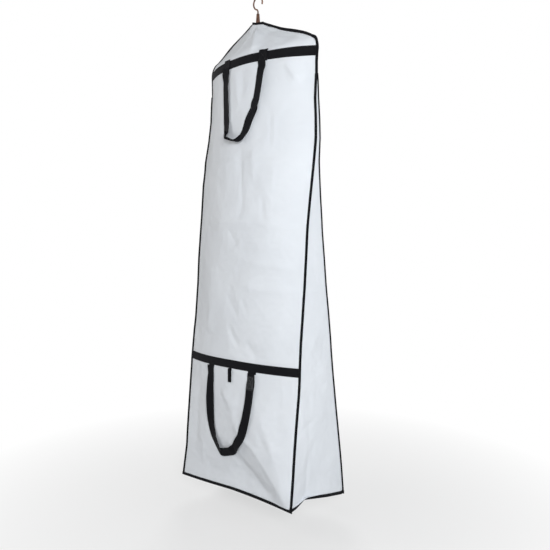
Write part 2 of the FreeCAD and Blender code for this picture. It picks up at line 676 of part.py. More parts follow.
def make_hanger():
    """A wooden hanger inside the shoulders, with a bore for the hook's shank."""
    seam = f"({PANEL_TOP} + Sizes.neck_width / 2 * {SLOPE_TAN} - Sizes.hanger_drop / cos({SLOPE}))"
    tip = "Sizes.hanger_span / 2"
    arm = f"(Sizes.hanger_arm / cos({SLOPE}))"
    tip_top = f"({seam} - {tip} * {SLOPE_TAN} - Sizes.hanger_tilt / cos({SLOPE}))"
    flat = "Sizes.hanger_top"
    half = [
        (flat, f"{seam} - {flat} * {SLOPE_TAN}"),
        (tip, tip_top),
        (tip, f"{tip_top} - {arm}"),
        (flat, f"{seam} - {flat} * {SLOPE_TAN} - {arm}"),
    ]
    other_half = [(f"-{across}", height) for across, height in reversed(half)]
    blank = outline_pad("hanger_blank", "XZ_Plane", half + other_half, "Sizes.hanger_thick",
                        "Sizes.hanger_forward")
    doc.recompute()
    pad = blank.Group[-1]
    rounds = blank.newObject("PartDesign::Fillet", "hanger_rounds")
    long_edges = []
    for number, edge in enumerate(pad.Shape.Edges, start=1):
        if edge.BoundBox.XLength > size["hanger_top"]:
            long_edges.append(f"Edge{number}")
    rounds.Base = (pad, long_edges)
    rounds.setExpression("Radius", "Sizes.hanger_edge")
    blank.Tip = rounds
    moved(blank, z=f"-({DROP})")

    top = f"({seam} - {flat} * {SLOPE_TAN} - ({DROP}))"
    bore = bound("Part::Cylinder", "shank_bore", Radius="Sizes.hook_wire + Sizes.shank_play",
                 Height="Sizes.shank_depth + Sizes.seam_gap + Sizes.hook_wire")
    moved(bore, z=f"{top} - Sizes.shank_depth - Sizes.seam_gap")
    hanger = doc.addObject("Part::Cut", "bored_hanger")
    hanger.Base = blank
    hanger.Tool = bore
    kept(hanger, "hanger")

    collar_round = bound("Part::Cone", "collar_round", Radius1="Sizes.collar_radius",
                         Radius2="Sizes.collar_top_radius", Height="Sizes.collar_height")
    collar_bore = bound("Part::Cylinder", "collar_bore", Radius="Sizes.hook_wire + Sizes.shank_play",
                        Height="Sizes.collar_height")
    for round_piece in (collar_round, collar_bore):
        moved(round_piece, z=top)
    collar = doc.addObject("Part::Cut", "collar")
    collar.Base = collar_round
    collar.Tool = collar_bore
    kept(collar, "hook_collar")
    return top


def make_hook(top):
    """A round wire: shank, a bend to one side, and a round mouth about the origin."""
    wire = "Sizes.hook_wire"
    ring = f"(Sizes.hook_mouth + {wire})"
    meeting = f"acos(Sizes.hook_bend / (Sizes.hook_bend + {ring}))"
    bend_height = f"(-(Sizes.hook_bend + {ring}) * sin({meeting}))"
    shank_foot = f"({top} - Sizes.shank_depth)"
    shank = bound("Part::Cylinder", "shank", Radius=wire, Height=f"{bend_height} - {shank_foot}")
    moved(shank, z=shank_foot)
    bend = bound("Part::Torus", "shank_bend", Radius1="Sizes.hook_bend", Radius2=wire, Angle3=meeting)
    bend.Placement = FreeCAD.Placement(FreeCAD.Vector(), FreeCAD.Rotation(X, 90))
    moved(bend, x="-Sizes.hook_bend", z=bend_height)
    mouth = bound("Part::Torus", "mouth_ring", Radius1=ring, Radius2=wire,
                  Angle3=f"180 deg + {meeting} + Sizes.hook_tip_angle * 1 deg")
    mouth.setExpression("Placement", "placement(vector(0; 0; 0); rotation(0; Sizes.hook_tip_angle; 90))")
    tip = bound("Part::Sphere", "hook_tip", Radius=wire)
    tip_angle = "(Sizes.hook_tip_angle * 1 deg)"
    moved(tip, x=f"{ring} * cos{tip_angle}", z=f"-{ring} * sin{tip_angle}")
    kept(joined("hook", [shank, bend, mouth, tip]), "hanger_hook")


def write_parts():
    doc.recompute()
    for item in doc.Objects:
        if {"Invalid", "Error"} & set(item.State):
            raise RuntimeError(f"{item.Label} failed: {item.State}")
    for piece in nodes:
        if piece.Shape.isNull() or not piece.Shape.isValid() or piece.Shape.Volume <= 0:
            raise RuntimeError(f"{piece.Label} has no valid shape")
    os.makedirs("parts", exist_ok=True)
    for piece in nodes:
        piece.Shape.exportStep(f"parts/{piece.Label}.step")
        print(f"{piece.Label}: {len(piece.Shape.Solids)} solid, {piece.Shape.Volume / 1000:.1f} cm3")


def print_turning_line(name, line):
    start, end = (lowered().multVec(point) for point in line)
    run = (start - end).normalize()
    print(f"{name} turns about {[round(value, 4) for value in start]}")
    print(f"    along {[round(value, 6) for value in run]}")


make_panels()
make_gussets()
make_foot()
make_side_bindings()
make_shoulder_bindings()
make_neck_binding()
make_bands()
upper_line, lower_line = make_handles()
loop_line = make_hook_loop()
make_zip()
make_slider()
make_hook(make_hanger())
write_parts()
print_turning_line("upper handle", upper_line)
print_turning_line("lower handle", lower_line)
print_turning_line("hook loop", loop_line)
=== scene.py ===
# %% [markdown]
# # A full-length garment bag on its hanger
# This notebook dresses a finished mechanical model. The model gives every piece its place in metres, with
# the middle of the hanger hook's mouth at the origin, the bag's front toward -Y and +Z up. Each step makes
# one kind of real piece: sewn cloth, folded binding tape, woven webbing, a zip, wood and wire.

# %% Load the frame
import json
import math

import bmesh
import bpy
import numpy as np
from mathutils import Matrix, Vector
from mathutils.bvhtree import BVHTree


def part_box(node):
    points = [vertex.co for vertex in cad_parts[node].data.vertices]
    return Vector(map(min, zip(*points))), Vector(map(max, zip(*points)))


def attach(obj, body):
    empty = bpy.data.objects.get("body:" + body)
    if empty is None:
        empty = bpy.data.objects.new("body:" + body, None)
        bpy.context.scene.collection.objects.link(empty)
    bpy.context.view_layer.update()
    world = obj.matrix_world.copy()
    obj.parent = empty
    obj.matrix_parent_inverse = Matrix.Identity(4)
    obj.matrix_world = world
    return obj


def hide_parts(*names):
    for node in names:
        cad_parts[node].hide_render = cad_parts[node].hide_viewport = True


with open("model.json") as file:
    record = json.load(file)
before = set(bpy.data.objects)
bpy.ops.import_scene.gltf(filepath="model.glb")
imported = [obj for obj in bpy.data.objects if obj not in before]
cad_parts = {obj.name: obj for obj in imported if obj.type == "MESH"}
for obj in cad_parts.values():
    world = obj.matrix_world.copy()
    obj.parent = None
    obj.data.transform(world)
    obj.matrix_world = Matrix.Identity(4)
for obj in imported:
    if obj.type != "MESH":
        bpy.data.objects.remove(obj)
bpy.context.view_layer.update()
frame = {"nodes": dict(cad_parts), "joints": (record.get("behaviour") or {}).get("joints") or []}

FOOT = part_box("foot_binding_front")[0].z

# %% [markdown]
# ## The camera
# The camera comes first, because it decides which folds are seen. It stands in front of the bag's right
# corner, a little above half height, and looks slightly down. A 40 mm lens on a 36 mm sensor gives a
# natural perspective from two and a half metres. The exact numbers come from a fit to a photograph.

# %% Camera
def in_scene(name, data):
    """An object that shows this data, linked to the scene."""
    made = bpy.data.objects.new(name, data)
    bpy.context.scene.collection.objects.link(made)
    return made


camera_data = bpy.data.cameras.new("camera")
camera_data.lens = 39.74
camera_data.sensor_width = 36
camera = in_scene("camera", camera_data)
camera.location = (1.664, -1.7301, -0.8843)
camera.rotation_euler = (math.radians(90 - 3.87), 0, math.radians(42.32))
bpy.context.scene.camera = camera
print("camera stands", round(camera.location.length, 2), "m from the hook")

# %% [markdown]
# ## The bag's pattern
# A sewn bag is best described by its seams. Four numbers per height say where the cloth is: half its
# width, how far the seams stand from the middle plane, how far the middle of the panel stands out, and
# the arc that joins them. The functions below give the outer face of the front or back at any point,
# with heights counted from the bag's lower edge.

# %% Seams and surfaces
FRONT, BACK = -1, 1
SIDES = ((-1, "left"), (1, "right"))
FACES = ((FRONT, "front"), (BACK, "back"))
CLOTH = 0.0012  # thickness of the fabric
panel_low, panel_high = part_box("front_panel")
HALF = panel_high.x
PANEL_TOP = panel_high.z - FOOT
FOOT_REACH = -panel_low.y
BANDS = {name: [corner.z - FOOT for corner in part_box(name)] for name in ("upper_band", "lower_band")}
SEAM_PROFILE = (  # heights, and the side seams' distance from the middle plane there, read off a photograph
    (0, 0.19, 0.45, 0.6, 0.8, 1.04, 1.18, 1.25, 1.32, 1.4, 1.47, 1.53, 1.57),
    (0.15, 0.1315, 0.101, 0.0875, 0.062, 0.04, 0.0235, 0.0155, 0.0118, 0.0098, 0.0083, 0.005, 0.00114),
)
GUSSET_TOP = SEAM_PROFILE[0][-1]
SEAM_AT_FOOT = SEAM_PROFILE[1][0]
CORNER_HEIGHT, CORNER_RADIUS = 1.664, 0.045  # of the shoulders
NECK_HALF = 0.03
NECK_REACH, CHEST_REACH = 0.012, 0.092  # like FOOT_REACH, how far a panel's middle stands out
SLOPE = math.atan2(PANEL_TOP - CORNER_HEIGHT, HALF - NECK_HALF)
CORNER_RUN = CORNER_RADIUS * math.tan((math.pi / 2 - SLOPE) / 2)
CORNER_LOW = CORNER_HEIGHT - CORNER_RUN
CORNER_HIGH = CORNER_HEIGHT + CORNER_RUN * math.sin(SLOPE)


def half_width(h):
    if h <= CORNER_LOW:
        return HALF
    if h < CORNER_HIGH:
        return HALF - CORNER_RADIUS + math.sqrt(CORNER_RADIUS ** 2 - (h - CORNER_LOW) ** 2)
    return HALF - (h - CORNER_HEIGHT) / math.tan(SLOPE)


def fade(value, length, power=2.0):
    return max(0.0, 1.0 - value / length) ** power


def read_off(table, value):
    """A number from a table of places and values, between its rows too."""
    return float(np.interp(value, *table))


BACK_SLACK = (  # heights, and how much farther out the back seams hang
    (0, 0.08, 0.2, 0.42, 0.7, 1.0, 1.2, 1.35, 1.45),
    (0.0125, 0.009, 0.002, -0.006, -0.003, -0.004, -0.005, -0.002, 0),
)


def seam_depth(side, h):
    """Distance of the side seams from the middle plane. They close to a slit, and the back ones flare
    at the foot and hang a little slack above it."""
    flare = read_off(BACK_SLACK, h) if side == BACK else 0.0
    wave = 0.001 * math.sin(h * 9.0 + side) * fade(abs(h - 0.7), 0.6, 1)
    return read_off(SEAM_PROFILE, h) + flare + wave


def reach(side, h):
    """Distance of the panel's middle line from the middle plane."""
    if side == BACK:
        return FOOT_REACH + (NECK_REACH - FOOT_REACH) * h / PANEL_TOP
    heights = (0, BANDS["lower_band"][0], BANDS["upper_band"][1], PANEL_TOP)
    return read_off((heights, (FOOT_REACH, FOOT_REACH, CHEST_REACH, NECK_REACH)), h)


def skin(side, x, h):
    """Y of the outer face: an arc through both seams and the middle line."""
    edge = seam_depth(side, h) + CLOTH / 2
    bow = max(reach(side, h) - edge, 0.001)
    radius = (half_width(h) ** 2 + bow ** 2) / (2 * bow)
    return side * (edge + bow - radius + math.sqrt(max(radius ** 2 - x ** 2, 0)))


print(f"panels {2 * HALF:.3f} m wide and {PANEL_TOP:.3f} m tall,",
      f"shoulders fall {math.degrees(SLOPE):.1f} degrees")

# %% How unevenly the bag hangs
# Places along the foot's side edges, from front to back, and how far each hangs from level.
LEFT_FOOT = ((0, 0.3, 0.55, 0.8, 1), (-0.010, -0.006, 0.008, -0.004, -0.014))
RIGHT_FOOT = ((0, 0.12, 0.31, 0.6, 1), (0, 0.002, 0.0155, -0.002, -0.027))


def foot_lift(x, y):
    """How far the hanging foot is from level. Its side edges kink where the gusset folds."""
    across = min(max((x / HALF + 1) / 2, 0), 1)
    deep = min(max((y / SEAM_AT_FOOT + 1) / 2, 0), 1)
    level = read_off(LEFT_FOOT if across < 0.5 else RIGHT_FOOT, deep) * abs(2 * across - 1) ** 1.5
    return level - 0.003 * math.sin(2 * math.pi * across) * (1 - deep)


# An empty panel bows, so its sides draw in: shares of the half width that are left, by height. A program
# fitted them to the bag's edges in a photograph.
LEFT_DRAWN = (
    (0, 0.12, 0.3, 0.48, 0.65, 0.9, 1.05, 1.2, 1.3, 1.38, 1.46, 1.55, 1.65, 1.70, 1.7215, 1.74, 1.757,
     1.7715, 1.788),
    (0.983, 0.946, 0.960, 0.975, 0.958, 0.984, 0.979, 1.0, 0.979, 0.919, 0.877, 0.876, 0.880, 0.888, 0.926,
     0.975, 1.02, 1.04, 1.0),
)
RIGHT_DRAWN = (
    (0, 0.12, 0.3, 0.42, 0.55, 0.75, 0.9, 1.0, 1.12, 1.25, 1.33, 1.4, 1.47, 1.54, 1.6, 1.635, 1.66, 1.677,
     1.69, 1.71, 1.75),
    (1.0, 1.002, 0.996, 0.997, 0.978, 0.963, 0.957, 0.95, 0.957, 0.97, 0.987, 0.98, 0.964, 0.964, 0.962,
     0.97, 0.993, 1.03, 1.035, 1.015, 1.0),
)


def drawn_in(x, h):
    return x * read_off(LEFT_DRAWN if x < 0 else RIGHT_DRAWN, h)


def smooth_step(value, start, end):
    share = min(max((value - start) / (end - start), 0), 1)
    return share * share * (3 - 2 * share)


LOW_SIDE, HIGH_SHOULDER = -0.009, 0.012
LEFT_TILT, RIGHT_TILT, TILT_REACH = -0.32, -0.16, 0.04  # slopes at the neck, and how far out they go


def lean(x, h):
    """The left side hangs a little low, the neck tilts, and the right shoulder rides a little high."""
    low_side = LOW_SIDE * max(0, -x / HALF) * (1 - smooth_step(h, 1.45, 1.65))
    slope = (RIGHT_TILT if x > 0 else LEFT_TILT) * x * math.exp(-((x / TILT_REACH) ** 2))
    neck_tilt = slope * smooth_step(h, 1.72, 1.785)
    return low_side + neck_tilt + HIGH_SHOULDER * smooth_step(x, 0.11, 0.24) * smooth_step(h, 1.63, 1.7)


LIFT_FADES = 0.34


def hung(x, y, h):
    """A point of the bag in the scene, with its uneven hang worked in."""
    return Vector((drawn_in(x, h), y, FOOT + h + lean(x, h) + foot_lift(x, y) * fade(h, LIFT_FADES)))


def foot_kink(side, share):
    """How far the gusset's foot folds inward, by the share of its depth from front to back."""
    return 0.014 * fade(abs(share - (0.31 if side > 0 else 0.55)), 0.4, 1.3)


print(f"the foot's left back corner hangs {-foot_lift(-HALF, SEAM_AT_FOOT) * 1000:.0f} mm low")

# %% [markdown]
# ## Creases
# Real panels are never smooth: the bag was stored folded, and its weight pulls from the lower corner.
# Each crease is a stroke over the panel. A point near it moves out by the stroke's height, sharply at the
# line itself and fading to either side, so that light catches one flank and leaves the other darker.

# %% Strokes that crease the cloth
def creases(*rows):
    """Each row is a line of (x, height) pairs, the stroke's height, the widths of its left and right
    flanks, and how sharply they fall."""
    return [(np.array(line, float), *measures) for line, *measures in rows]


def crease_at(strokes, x, h):
    total = 0.0
    spot = np.array((x, h))
    for points, height, left, right, sharp in strokes:
        best = (math.inf, 0.0, 0.0)
        lengths = np.linalg.norm(np.diff(points, axis=0), axis=1)
        ran = 0.0
        for start, end, length in zip(points, points[1:], lengths):
            run = end - start
            share = float(np.clip(np.dot(spot - start, run) / length ** 2, 0, 1))
            away = spot - (start + run * share)
            distance = float(np.linalg.norm(away))
            if distance < best[0]:
                best = (distance, run[0] * away[1] - run[1] * away[0], (ran + share * length) / lengths.sum())
            ran += length
        distance, turn, along = best
        width = left if turn > 0 else right
        ends = min(1.0, 4 * along + 0.25, 4 * (1 - along) + 0.25)
        total += height * ends * math.exp(-((distance / width) ** sharp))
    return total


FRONT_CREASES = creases(
    ([(0.296, 0.008), (0.267, 0.043), (0.239, 0.077), (0.197, 0.122), (0.156, 0.168), (0.107, 0.204),
      (0.06, 0.236), (0.02, 0.262)], 0.026, 0.055, 0.16, 1.0),
    ([(0.25, 0.01), (0.17, 0.05), (0.09, 0.095), (0.0, 0.135)], -0.015, 0.11, 0.06, 1.5),
    ([(-0.24, 0.16), (-0.08, 0.175), (0.06, 0.18)], 0.0065, 0.07, 0.09, 1.6),
    ([(-0.2, 0.05), (-0.06, 0.06), (0.13, 0.055)], -0.009, 0.07, 0.07, 1.6),
    ([(0.149, 0.336), (0.175, 0.283), (0.206, 0.221), (0.234, 0.168)], 0.0091, 0.035, 0.06, 1.3),
    ([(-0.048, 0.396), (-0.032, 0.364), (-0.009, 0.345), (0.04, 0.336)], 0.0091, 0.03, 0.03, 1.4),
    ([(0.013, 0.311), (0.034, 0.265), (0.06, 0.21)], 0.0078, 0.025, 0.035, 1.4),
    ([(-0.224, 0.423), (-0.227, 0.308), (-0.232, 0.183), (-0.24, 0.1)], -0.0065, 0.028, 0.03, 1.6),
    ([(0.014, 1.784), (0.036, 1.724), (0.056, 1.66)], 0.016, 0.014, 0.024, 1.0),
    ([(0.1, 1.745), (0.12, 1.722), (0.142, 1.689)], 0.0078, 0.018, 0.022, 1.4),
    ([(0.148, 1.713), (0.206, 1.691), (0.262, 1.665)], -0.0078, 0.02, 0.022, 1.5),
    ([(0.176, 1.638), (0.206, 1.603), (0.226, 1.576), (0.245, 1.55), (0.258, 1.53)],
     0.021, 0.017, 0.024, 1.0),
    ([(-0.037, 1.619), (-0.02, 1.55), (-0.015, 1.475)], 0.0042, 0.018, 0.022, 1.3),
    ([(0.002, 1.619), (0.012, 1.564), (0.01, 1.5)], -0.0052, 0.018, 0.018, 1.4),
    ([(0.014, 1.31), (0.019, 1.209), (0.029, 1.115), (0.026, 1.036)], -0.0059, 0.016, 0.02, 1.3),
    ([(0.077, 1.3), (0.084, 1.186)], 0.0052, 0.018, 0.018, 1.3),
    ([(0.126, 1.126), (0.132, 1.049)], -0.0059, 0.018, 0.018, 1.4),
    ([(-0.2, 1.27), (0.012, 1.262), (0.146, 1.256), (0.285, 1.255)], 0.0039, 0.016, 0.02, 1.2),
    ([(-0.18, 1.036), (0.026, 1.032), (0.127, 1.026), (0.215, 1.016), (0.285, 1.007)],
     0.0072, 0.02, 0.014, 1.1),
    ([(-0.039, 1.003), (-0.013, 0.972), (0.012, 0.942)], -0.0059, 0.016, 0.018, 1.3),
    ([(0.06, 0.885), (0.186, 0.872), (0.266, 0.859)], 0.0059, 0.018, 0.016, 1.2),
    ([(0.04, 0.79), (0.171, 0.784), (0.271, 0.781)], 0.0059, 0.018, 0.016, 1.2),
    ([(0.155, 1.274), (0.164, 1.075), (0.17, 0.948), (0.202, 0.86)], 0.0065, 0.09, 0.06, 1.4),
    ([(-0.034, 0.746), (-0.004, 0.711), (0.025, 0.672)], -0.0065, 0.016, 0.016, 1.3),
    ([(0.042, 0.741), (0.073, 0.698)], -0.0052, 0.016, 0.016, 1.3),
    ([(-0.021, 0.64), (0.003, 0.597), (0.037, 0.556)], -0.0072, 0.016, 0.016, 1.3),
    ([(0.07, 0.59), (0.104, 0.552), (0.119, 0.525)], -0.0065, 0.016, 0.016, 1.3),
    ([(-0.15, 0.9), (-0.14, 0.75), (-0.165, 0.6)], 0.0065, 0.05, 0.04, 1.5),
)
GUSSET_CREASES = creases(
    ([(-0.06, 1.03), (0.06, 1.028)], 0.004, 0.02, 0.014, 1.2),
    ([(-0.09, 0.785), (0.09, 0.78)], 0.003, 0.016, 0.018, 1.2),
    ([(0.03, 0.585), (0.1, 0.575)], -0.004, 0.018, 0.018, 1.3),
    ([(0.08, 0.5), (0.1, 0.44)], -0.004, 0.016, 0.016, 1.3),
    ([(-0.1, 0.37), (-0.07, 0.29)], 0.004, 0.02, 0.025, 1.3),
)
BACK_CREASES = creases(
    ([(-0.27, 0.02), (-0.19, 0.1), (-0.13, 0.17)], 0.012, 0.07, 0.06, 1.0),
    ([(0.28, 0.02), (0.2, 0.12), (0.15, 0.2)], 0.01, 0.06, 0.07, 1.0),
    ([(-0.28, 1.26), (0.28, 1.255)], 0.003, 0.016, 0.02, 1.2),
    ([(-0.28, 1.035), (0.28, 1.03)], 0.0045, 0.018, 0.014, 1.2),
    ([(-0.28, 0.785), (0.28, 0.78)], 0.004, 0.018, 0.016, 1.2),
    ([(0.2, 1.55), (0.15, 1.49), (0.09, 1.44)], 0.006, 0.022, 0.026, 1.3),
    ([(-0.22, 1.58), (-0.17, 1.5), (-0.12, 1.45)], 0.006, 0.024, 0.02, 1.3),
    ([(-0.18, 0.72), (-0.15, 0.58), (-0.16, 0.45)], 0.005, 0.035, 0.03, 1.5),
    ([(0.12, 0.55), (0.15, 0.42), (0.13, 0.3)], 0.005, 0.03, 0.035, 1.5),
)
print(len(FRONT_CREASES), "creases in front,", len(BACK_CREASES), "behind")

# %% [markdown]
# ## Cloth panels as grids
# Each panel is a grid of points whose outer rows lie in the seams. A grid is easy to simulate, easy to
# thicken and easy to sew things onto. The creases are worked in first, and they fade out at the seams
# and at the two bands, where tape and webbing hold the cloth straight.

# %% Grids for the six panels
STEP = 0.0105
LOWEST_ROW = 0.0095  # the cloth ends inside the foot tapes
HELD_BY_SEAM, HELD_BY_BAND, HELD_BY_TAPE = 0.02, 0.012, 0.012  # lengths over which creases fade out
GUSSET_OUT = 0.0045  # the gusset's outer face stands this far beyond the front's edge


def heights_between(low, high):
    """Even rows, with one on every edge of a band so that the webbing has cloth under its edge."""
    marks = [low, high] + [edge for band in BANDS.values() for edge in band if low < edge < high]
    rows = []
    for start, end in zip(sorted(marks), sorted(marks)[1:]):
        rows += list(np.linspace(start, end, max(2, round((end - start) / STEP) + 1))[:-1])
    return rows + [high]


def panel_grid(side, low_edge, high_edge, columns, strokes):
    """low_edge and high_edge give the panel's two sides at a height."""
    rows = []
    for h in heights_between(LOWEST_ROW, PANEL_TOP + 0.002):
        h_in = min(h, PANEL_TOP)
        from_band = min(max(low - h, h - high, 0) for low, high in BANDS.values()) if side == FRONT else 1
        row = []
        for share in np.linspace(0, 1, columns):
            x = low_edge(h_in) + (high_edge(h_in) - low_edge(h_in)) * share
            margin = min(abs(half_width(h_in) - abs(x)), h, 1.15 * (PANEL_TOP - h_in) + 0.004)
            held = (1 - math.exp(-margin / HELD_BY_SEAM)) * (1 - math.exp(-from_band / HELD_BY_BAND))
            y = skin(side, x, h_in) + side * crease_at(strokes, x, h_in) * held
            row.append(hung(x, y, h))
        rows.append(row)
    return rows


def gusset_grid(side, rows=130, columns=21):
    """A triangle between the side tapes. Its lower edge folds inward where the foot kinks."""
    grid = []
    for h in np.linspace(LOWEST_ROW, GUSSET_TOP - 0.012, rows):
        front = -seam_depth(FRONT, h) + 0.0004
        back = seam_depth(BACK, h) - 0.0004
        row = []
        for share in np.linspace(0, 1, columns):
            y = front + (back - front) * share
            inward = foot_kink(side, share) * fade(h, 0.5, 1.6)
            inward += 0.003 * math.sin(math.pi * share) * math.sin(h * 7 + side) * fade(abs(h - 0.6), 0.8, 1)
            held = 1 - math.exp(-min(y - front, back - y) / HELD_BY_TAPE)
            inward -= crease_at(GUSSET_CREASES, y, h) * held
            row.append(hung(side * (HALF + GUSSET_OUT - inward), y, h))
        grid.append(row)
    return grid


BOTTOM_HALVES = (HALF + 0.0025, 0.1485)  # half its width and half its depth
BOTTOM_HEIGHT, BOTTOM_SAG = 0.0118, 0.006


def bottom_grid():
    """The bottom is held at its edges and sags between them."""
    def sag(x, y):
        return BOTTOM_SAG * (1 - (x / HALF) ** 2) * (1 - (y / SEAM_AT_FOOT) ** 2)
    xs, ys = (np.linspace(-half, half, count) for half, count in zip(BOTTOM_HALVES, (38, 20)))
    return [[hung(x, y, BOTTOM_HEIGHT - sag(x, y)) for x in xs] for y in ys]


ZIP_EDGE = 0.012  # each half of the back panel stops this far from the middle
panels = {
    "front_cloth": panel_grid(FRONT, lambda h: -half_width(h), half_width, 57, FRONT_CREASES),
    "back_cloth_left": panel_grid(BACK, lambda h: -half_width(h), lambda h: -ZIP_EDGE, 27, BACK_CREASES),
    "back_cloth_right": panel_grid(BACK, lambda h: ZIP_EDGE, half_width, 27, BACK_CREASES),
    "gusset_cloth_left": gusset_grid(-1),
    "gusset_cloth_right": gusset_grid(1),
    "bottom_cloth": bottom_grid(),
}
panels = {name: np.array(rows, float) for name, rows in panels.items()}
for name, grid in panels.items():
    print(f"{name}: {grid.shape[0]} rows of {grid.shape[1]} points")

# %% [markdown]
# ## Letting the cloth settle
# Bonded fabric is light and rather stiff, so it doesn't drape, it buckles softly between its seams. Cloth
# simulation gives those shallow waves for free: the seams and the rows under the webbing are pinned, the
# cloth is cut a trace larger than the space between them, and gravity does the rest. The result is read
# back as plain points, and no point may leave its place by more than a few millimetres. Last, the cloth is
# laid over the wooden arms, which carry it at the shoulders.

# %% Cloth simulation of all panels at once
SETTLE_FRAMES = 22
SETTLE_LIMIT = 0.006
FABRIC = {
    "quality": 5, "mass": 0.002, "tension_stiffness": 12, "compression_stiffness": 12, "shear_stiffness": 6,
    "bending_stiffness": 0.15, "air_damping": 3, "vertex_group_mass": "seams", "shrink_min": -0.0035,
}


def grid_faces(rows, columns, first=0, outward=True):
    faces = []
    for r in range(rows - 1):
        for c in range(columns - 1):
            corner = first + r * columns + c
            face = (corner, corner + 1, corner + columns + 1, corner + columns)
            faces.append(face if outward else face[::-1])
    return faces


def pinned_points(name, grid):
    rows, columns = grid.shape[:2]
    pins = []
    for r in range(rows):
        h = grid[r, columns // 2, 2] - FOOT
        in_band = any(low - 0.001 < h < high + 0.001 for low, high in BANDS.values())
        under_band = name == "front_cloth" and in_band
        narrow = np.linalg.norm(grid[r, 0] - grid[r, -1]) < 0.05
        for c in range(columns):
            on_edge = r in (0, rows - 1) or c in (0, columns - 1)
            if on_edge or under_band or narrow:
                pins.append(r * columns + c)
    return pins


def settle(grids):
    points, faces, pins = [], [], []
    for name, grid in grids.items():
        first = len(points)
        points += [tuple(p) for p in grid.reshape(-1, 3)]
        faces += grid_faces(grid.shape[0], grid.shape[1], first)
        pins += [first + index for index in pinned_points(name, grid)]
    mesh = bpy.data.meshes.new("settling")
    mesh.from_pydata(points, [], faces)
    cloth = in_scene("settling", mesh)
    cloth.vertex_groups.new(name="seams").add(pins, 1.0, "REPLACE")
    modifier = cloth.modifiers.new("cloth", "CLOTH")
    for setting, value in FABRIC.items():
        setattr(modifier.settings, setting, value)
    modifier.collision_settings.use_collision = False
    modifier.point_cache.frame_start = 1
    modifier.point_cache.frame_end = SETTLE_FRAMES
    for step in range(1, SETTLE_FRAMES + 1):
        bpy.context.scene.frame_set(step)
    evaluated = cloth.evaluated_get(bpy.context.evaluated_depsgraph_get())
    moved = np.zeros(len(points) * 3, np.float32)
    evaluated.data.vertices.foreach_get("co", moved)
    moved = moved.reshape(-1, 3)
    bpy.data.objects.remove(cloth)
    bpy.context.scene.frame_set(1)
    settled, first = {}, 0
    for name, grid in grids.items():
        count = grid.shape[0] * grid.shape[1]
        away = moved[first:first + count].reshape(grid.shape) - grid
        distance = np.linalg.norm(away, axis=2, keepdims=True)
        away *= np.minimum(1, SETTLE_LIMIT / np.maximum(distance, 1e-9))
        settled[name] = grid + away
        print(f"{name} settled by {distance.mean() * 1000:.1f} mm, at most {distance.max() * 1000:.1f} mm")
        first += count
    return settled


panels = settle(panels)


# %% Cloth over the arms of the hanger
wood = frame["nodes"]["hanger"].data
wood_tree = BVHTree.FromPolygons(
    [v.co.copy() for v in wood.vertices], [tuple(p.vertices) for p in wood.polygons]
)
WOOD_LOW = min(v.co.z for v in wood.vertices)
WOOD_GAP = 0.0032  # from the wood to the cloth's outer face
ASIDE = 0.007  # the cloth clears wood that is this near to either side


def over_hanger(side, grid):
    """Move a panel's points outward where a wooden arm lies just behind them."""
    lifted = grid.copy()
    for r, c in np.ndindex(grid.shape[0] - 2, grid.shape[1] - 2):
        x, y, z = grid[r + 1, c + 1]
        if z < WOOD_LOW - ASIDE:
            continue
        reached = []
        for aside_x, aside_z in ((0, 0), (ASIDE, 0), (-ASIDE, 0), (0, ASIDE), (0, -ASIDE)):
            start = Vector((float(x) + aside_x, side * 0.5, float(z) + aside_z))
            hit = wood_tree.ray_cast(start, Vector((0, -side, 0)))[0]
            if hit:
                reached.append(side * hit.y)
        if reached:
            lifted[r + 1, c + 1, 1] = side * max(side * y, max(reached) + WOOD_GAP)
    return lifted


for name, side in (("front_cloth", FRONT), ("back_cloth_left", BACK), ("back_cloth_right", BACK)):
    lifted = over_hanger(side, panels[name])
    print(f"{name} moved out by up to {abs(lifted - panels[name]).max() * 1000:.1f} mm over the hanger")
    panels[name] = lifted

# %% [markdown]
# ## Patterns for cloth and thread
# Two patterns serve every textile here. Bonded fabric is a felt of fine fibres pressed together in a grid
# of tiny dimples. Webbing and tape are ribs crossed by threads. Each pattern is a node group that reads
# the cloth's own flat coordinates in metres, so its scale is the real one, and it gives out only a height
# or a mask. A third group gives slow, soft variation for handling marks and unevenness.

# %% Helpers for node trees
def put(tree, socket, value):
    """Links another socket to this one, or types a value into it."""
    if isinstance(value, bpy.types.NodeSocket):
        tree.links.new(value, socket)
    else:
        socket.default_value = value


def add_node(tree, kind, inputs=None, **settings):
    node = tree.nodes.new(kind)
    for setting, value in settings.items():
        setattr(node, setting, value)
    for socket, value in (inputs or {}).items():
        put(tree, node.inputs[socket], value)
    return node


def math_node(tree, operation, *values):
    return add_node(tree, "ShaderNodeMath", dict(enumerate(values)), operation=operation).outputs[0]


def ridges(tree, phase):
    """Rounded ridges, one for each whole step of the phase."""
    return math_node(tree, "ABSOLUTE", math_node(tree, "SINE", math_node(tree, "MULTIPLY", phase, 3.1416)))


# %% Shared pattern groups
def pattern_group(name, inputs, build):
    """A group from the numbers it takes to the sockets that build returns. All read Coordinates."""
    tree = bpy.data.node_groups.new(name, "ShaderNodeTree")
    tree.interface.new_socket("Coordinates", in_out="INPUT", socket_type="NodeSocketVector")
    for socket, value in inputs.items():
        made = tree.interface.new_socket(socket, in_out="INPUT", socket_type="NodeSocketFloat")
        made.default_value = value
    results = build(tree, tree.nodes.new("NodeGroupInput").outputs)
    for socket in results:
        tree.interface.new_socket(socket, in_out="OUTPUT", socket_type="NodeSocketFloat")
    add_node(tree, "NodeGroupOutput", results)
    return tree


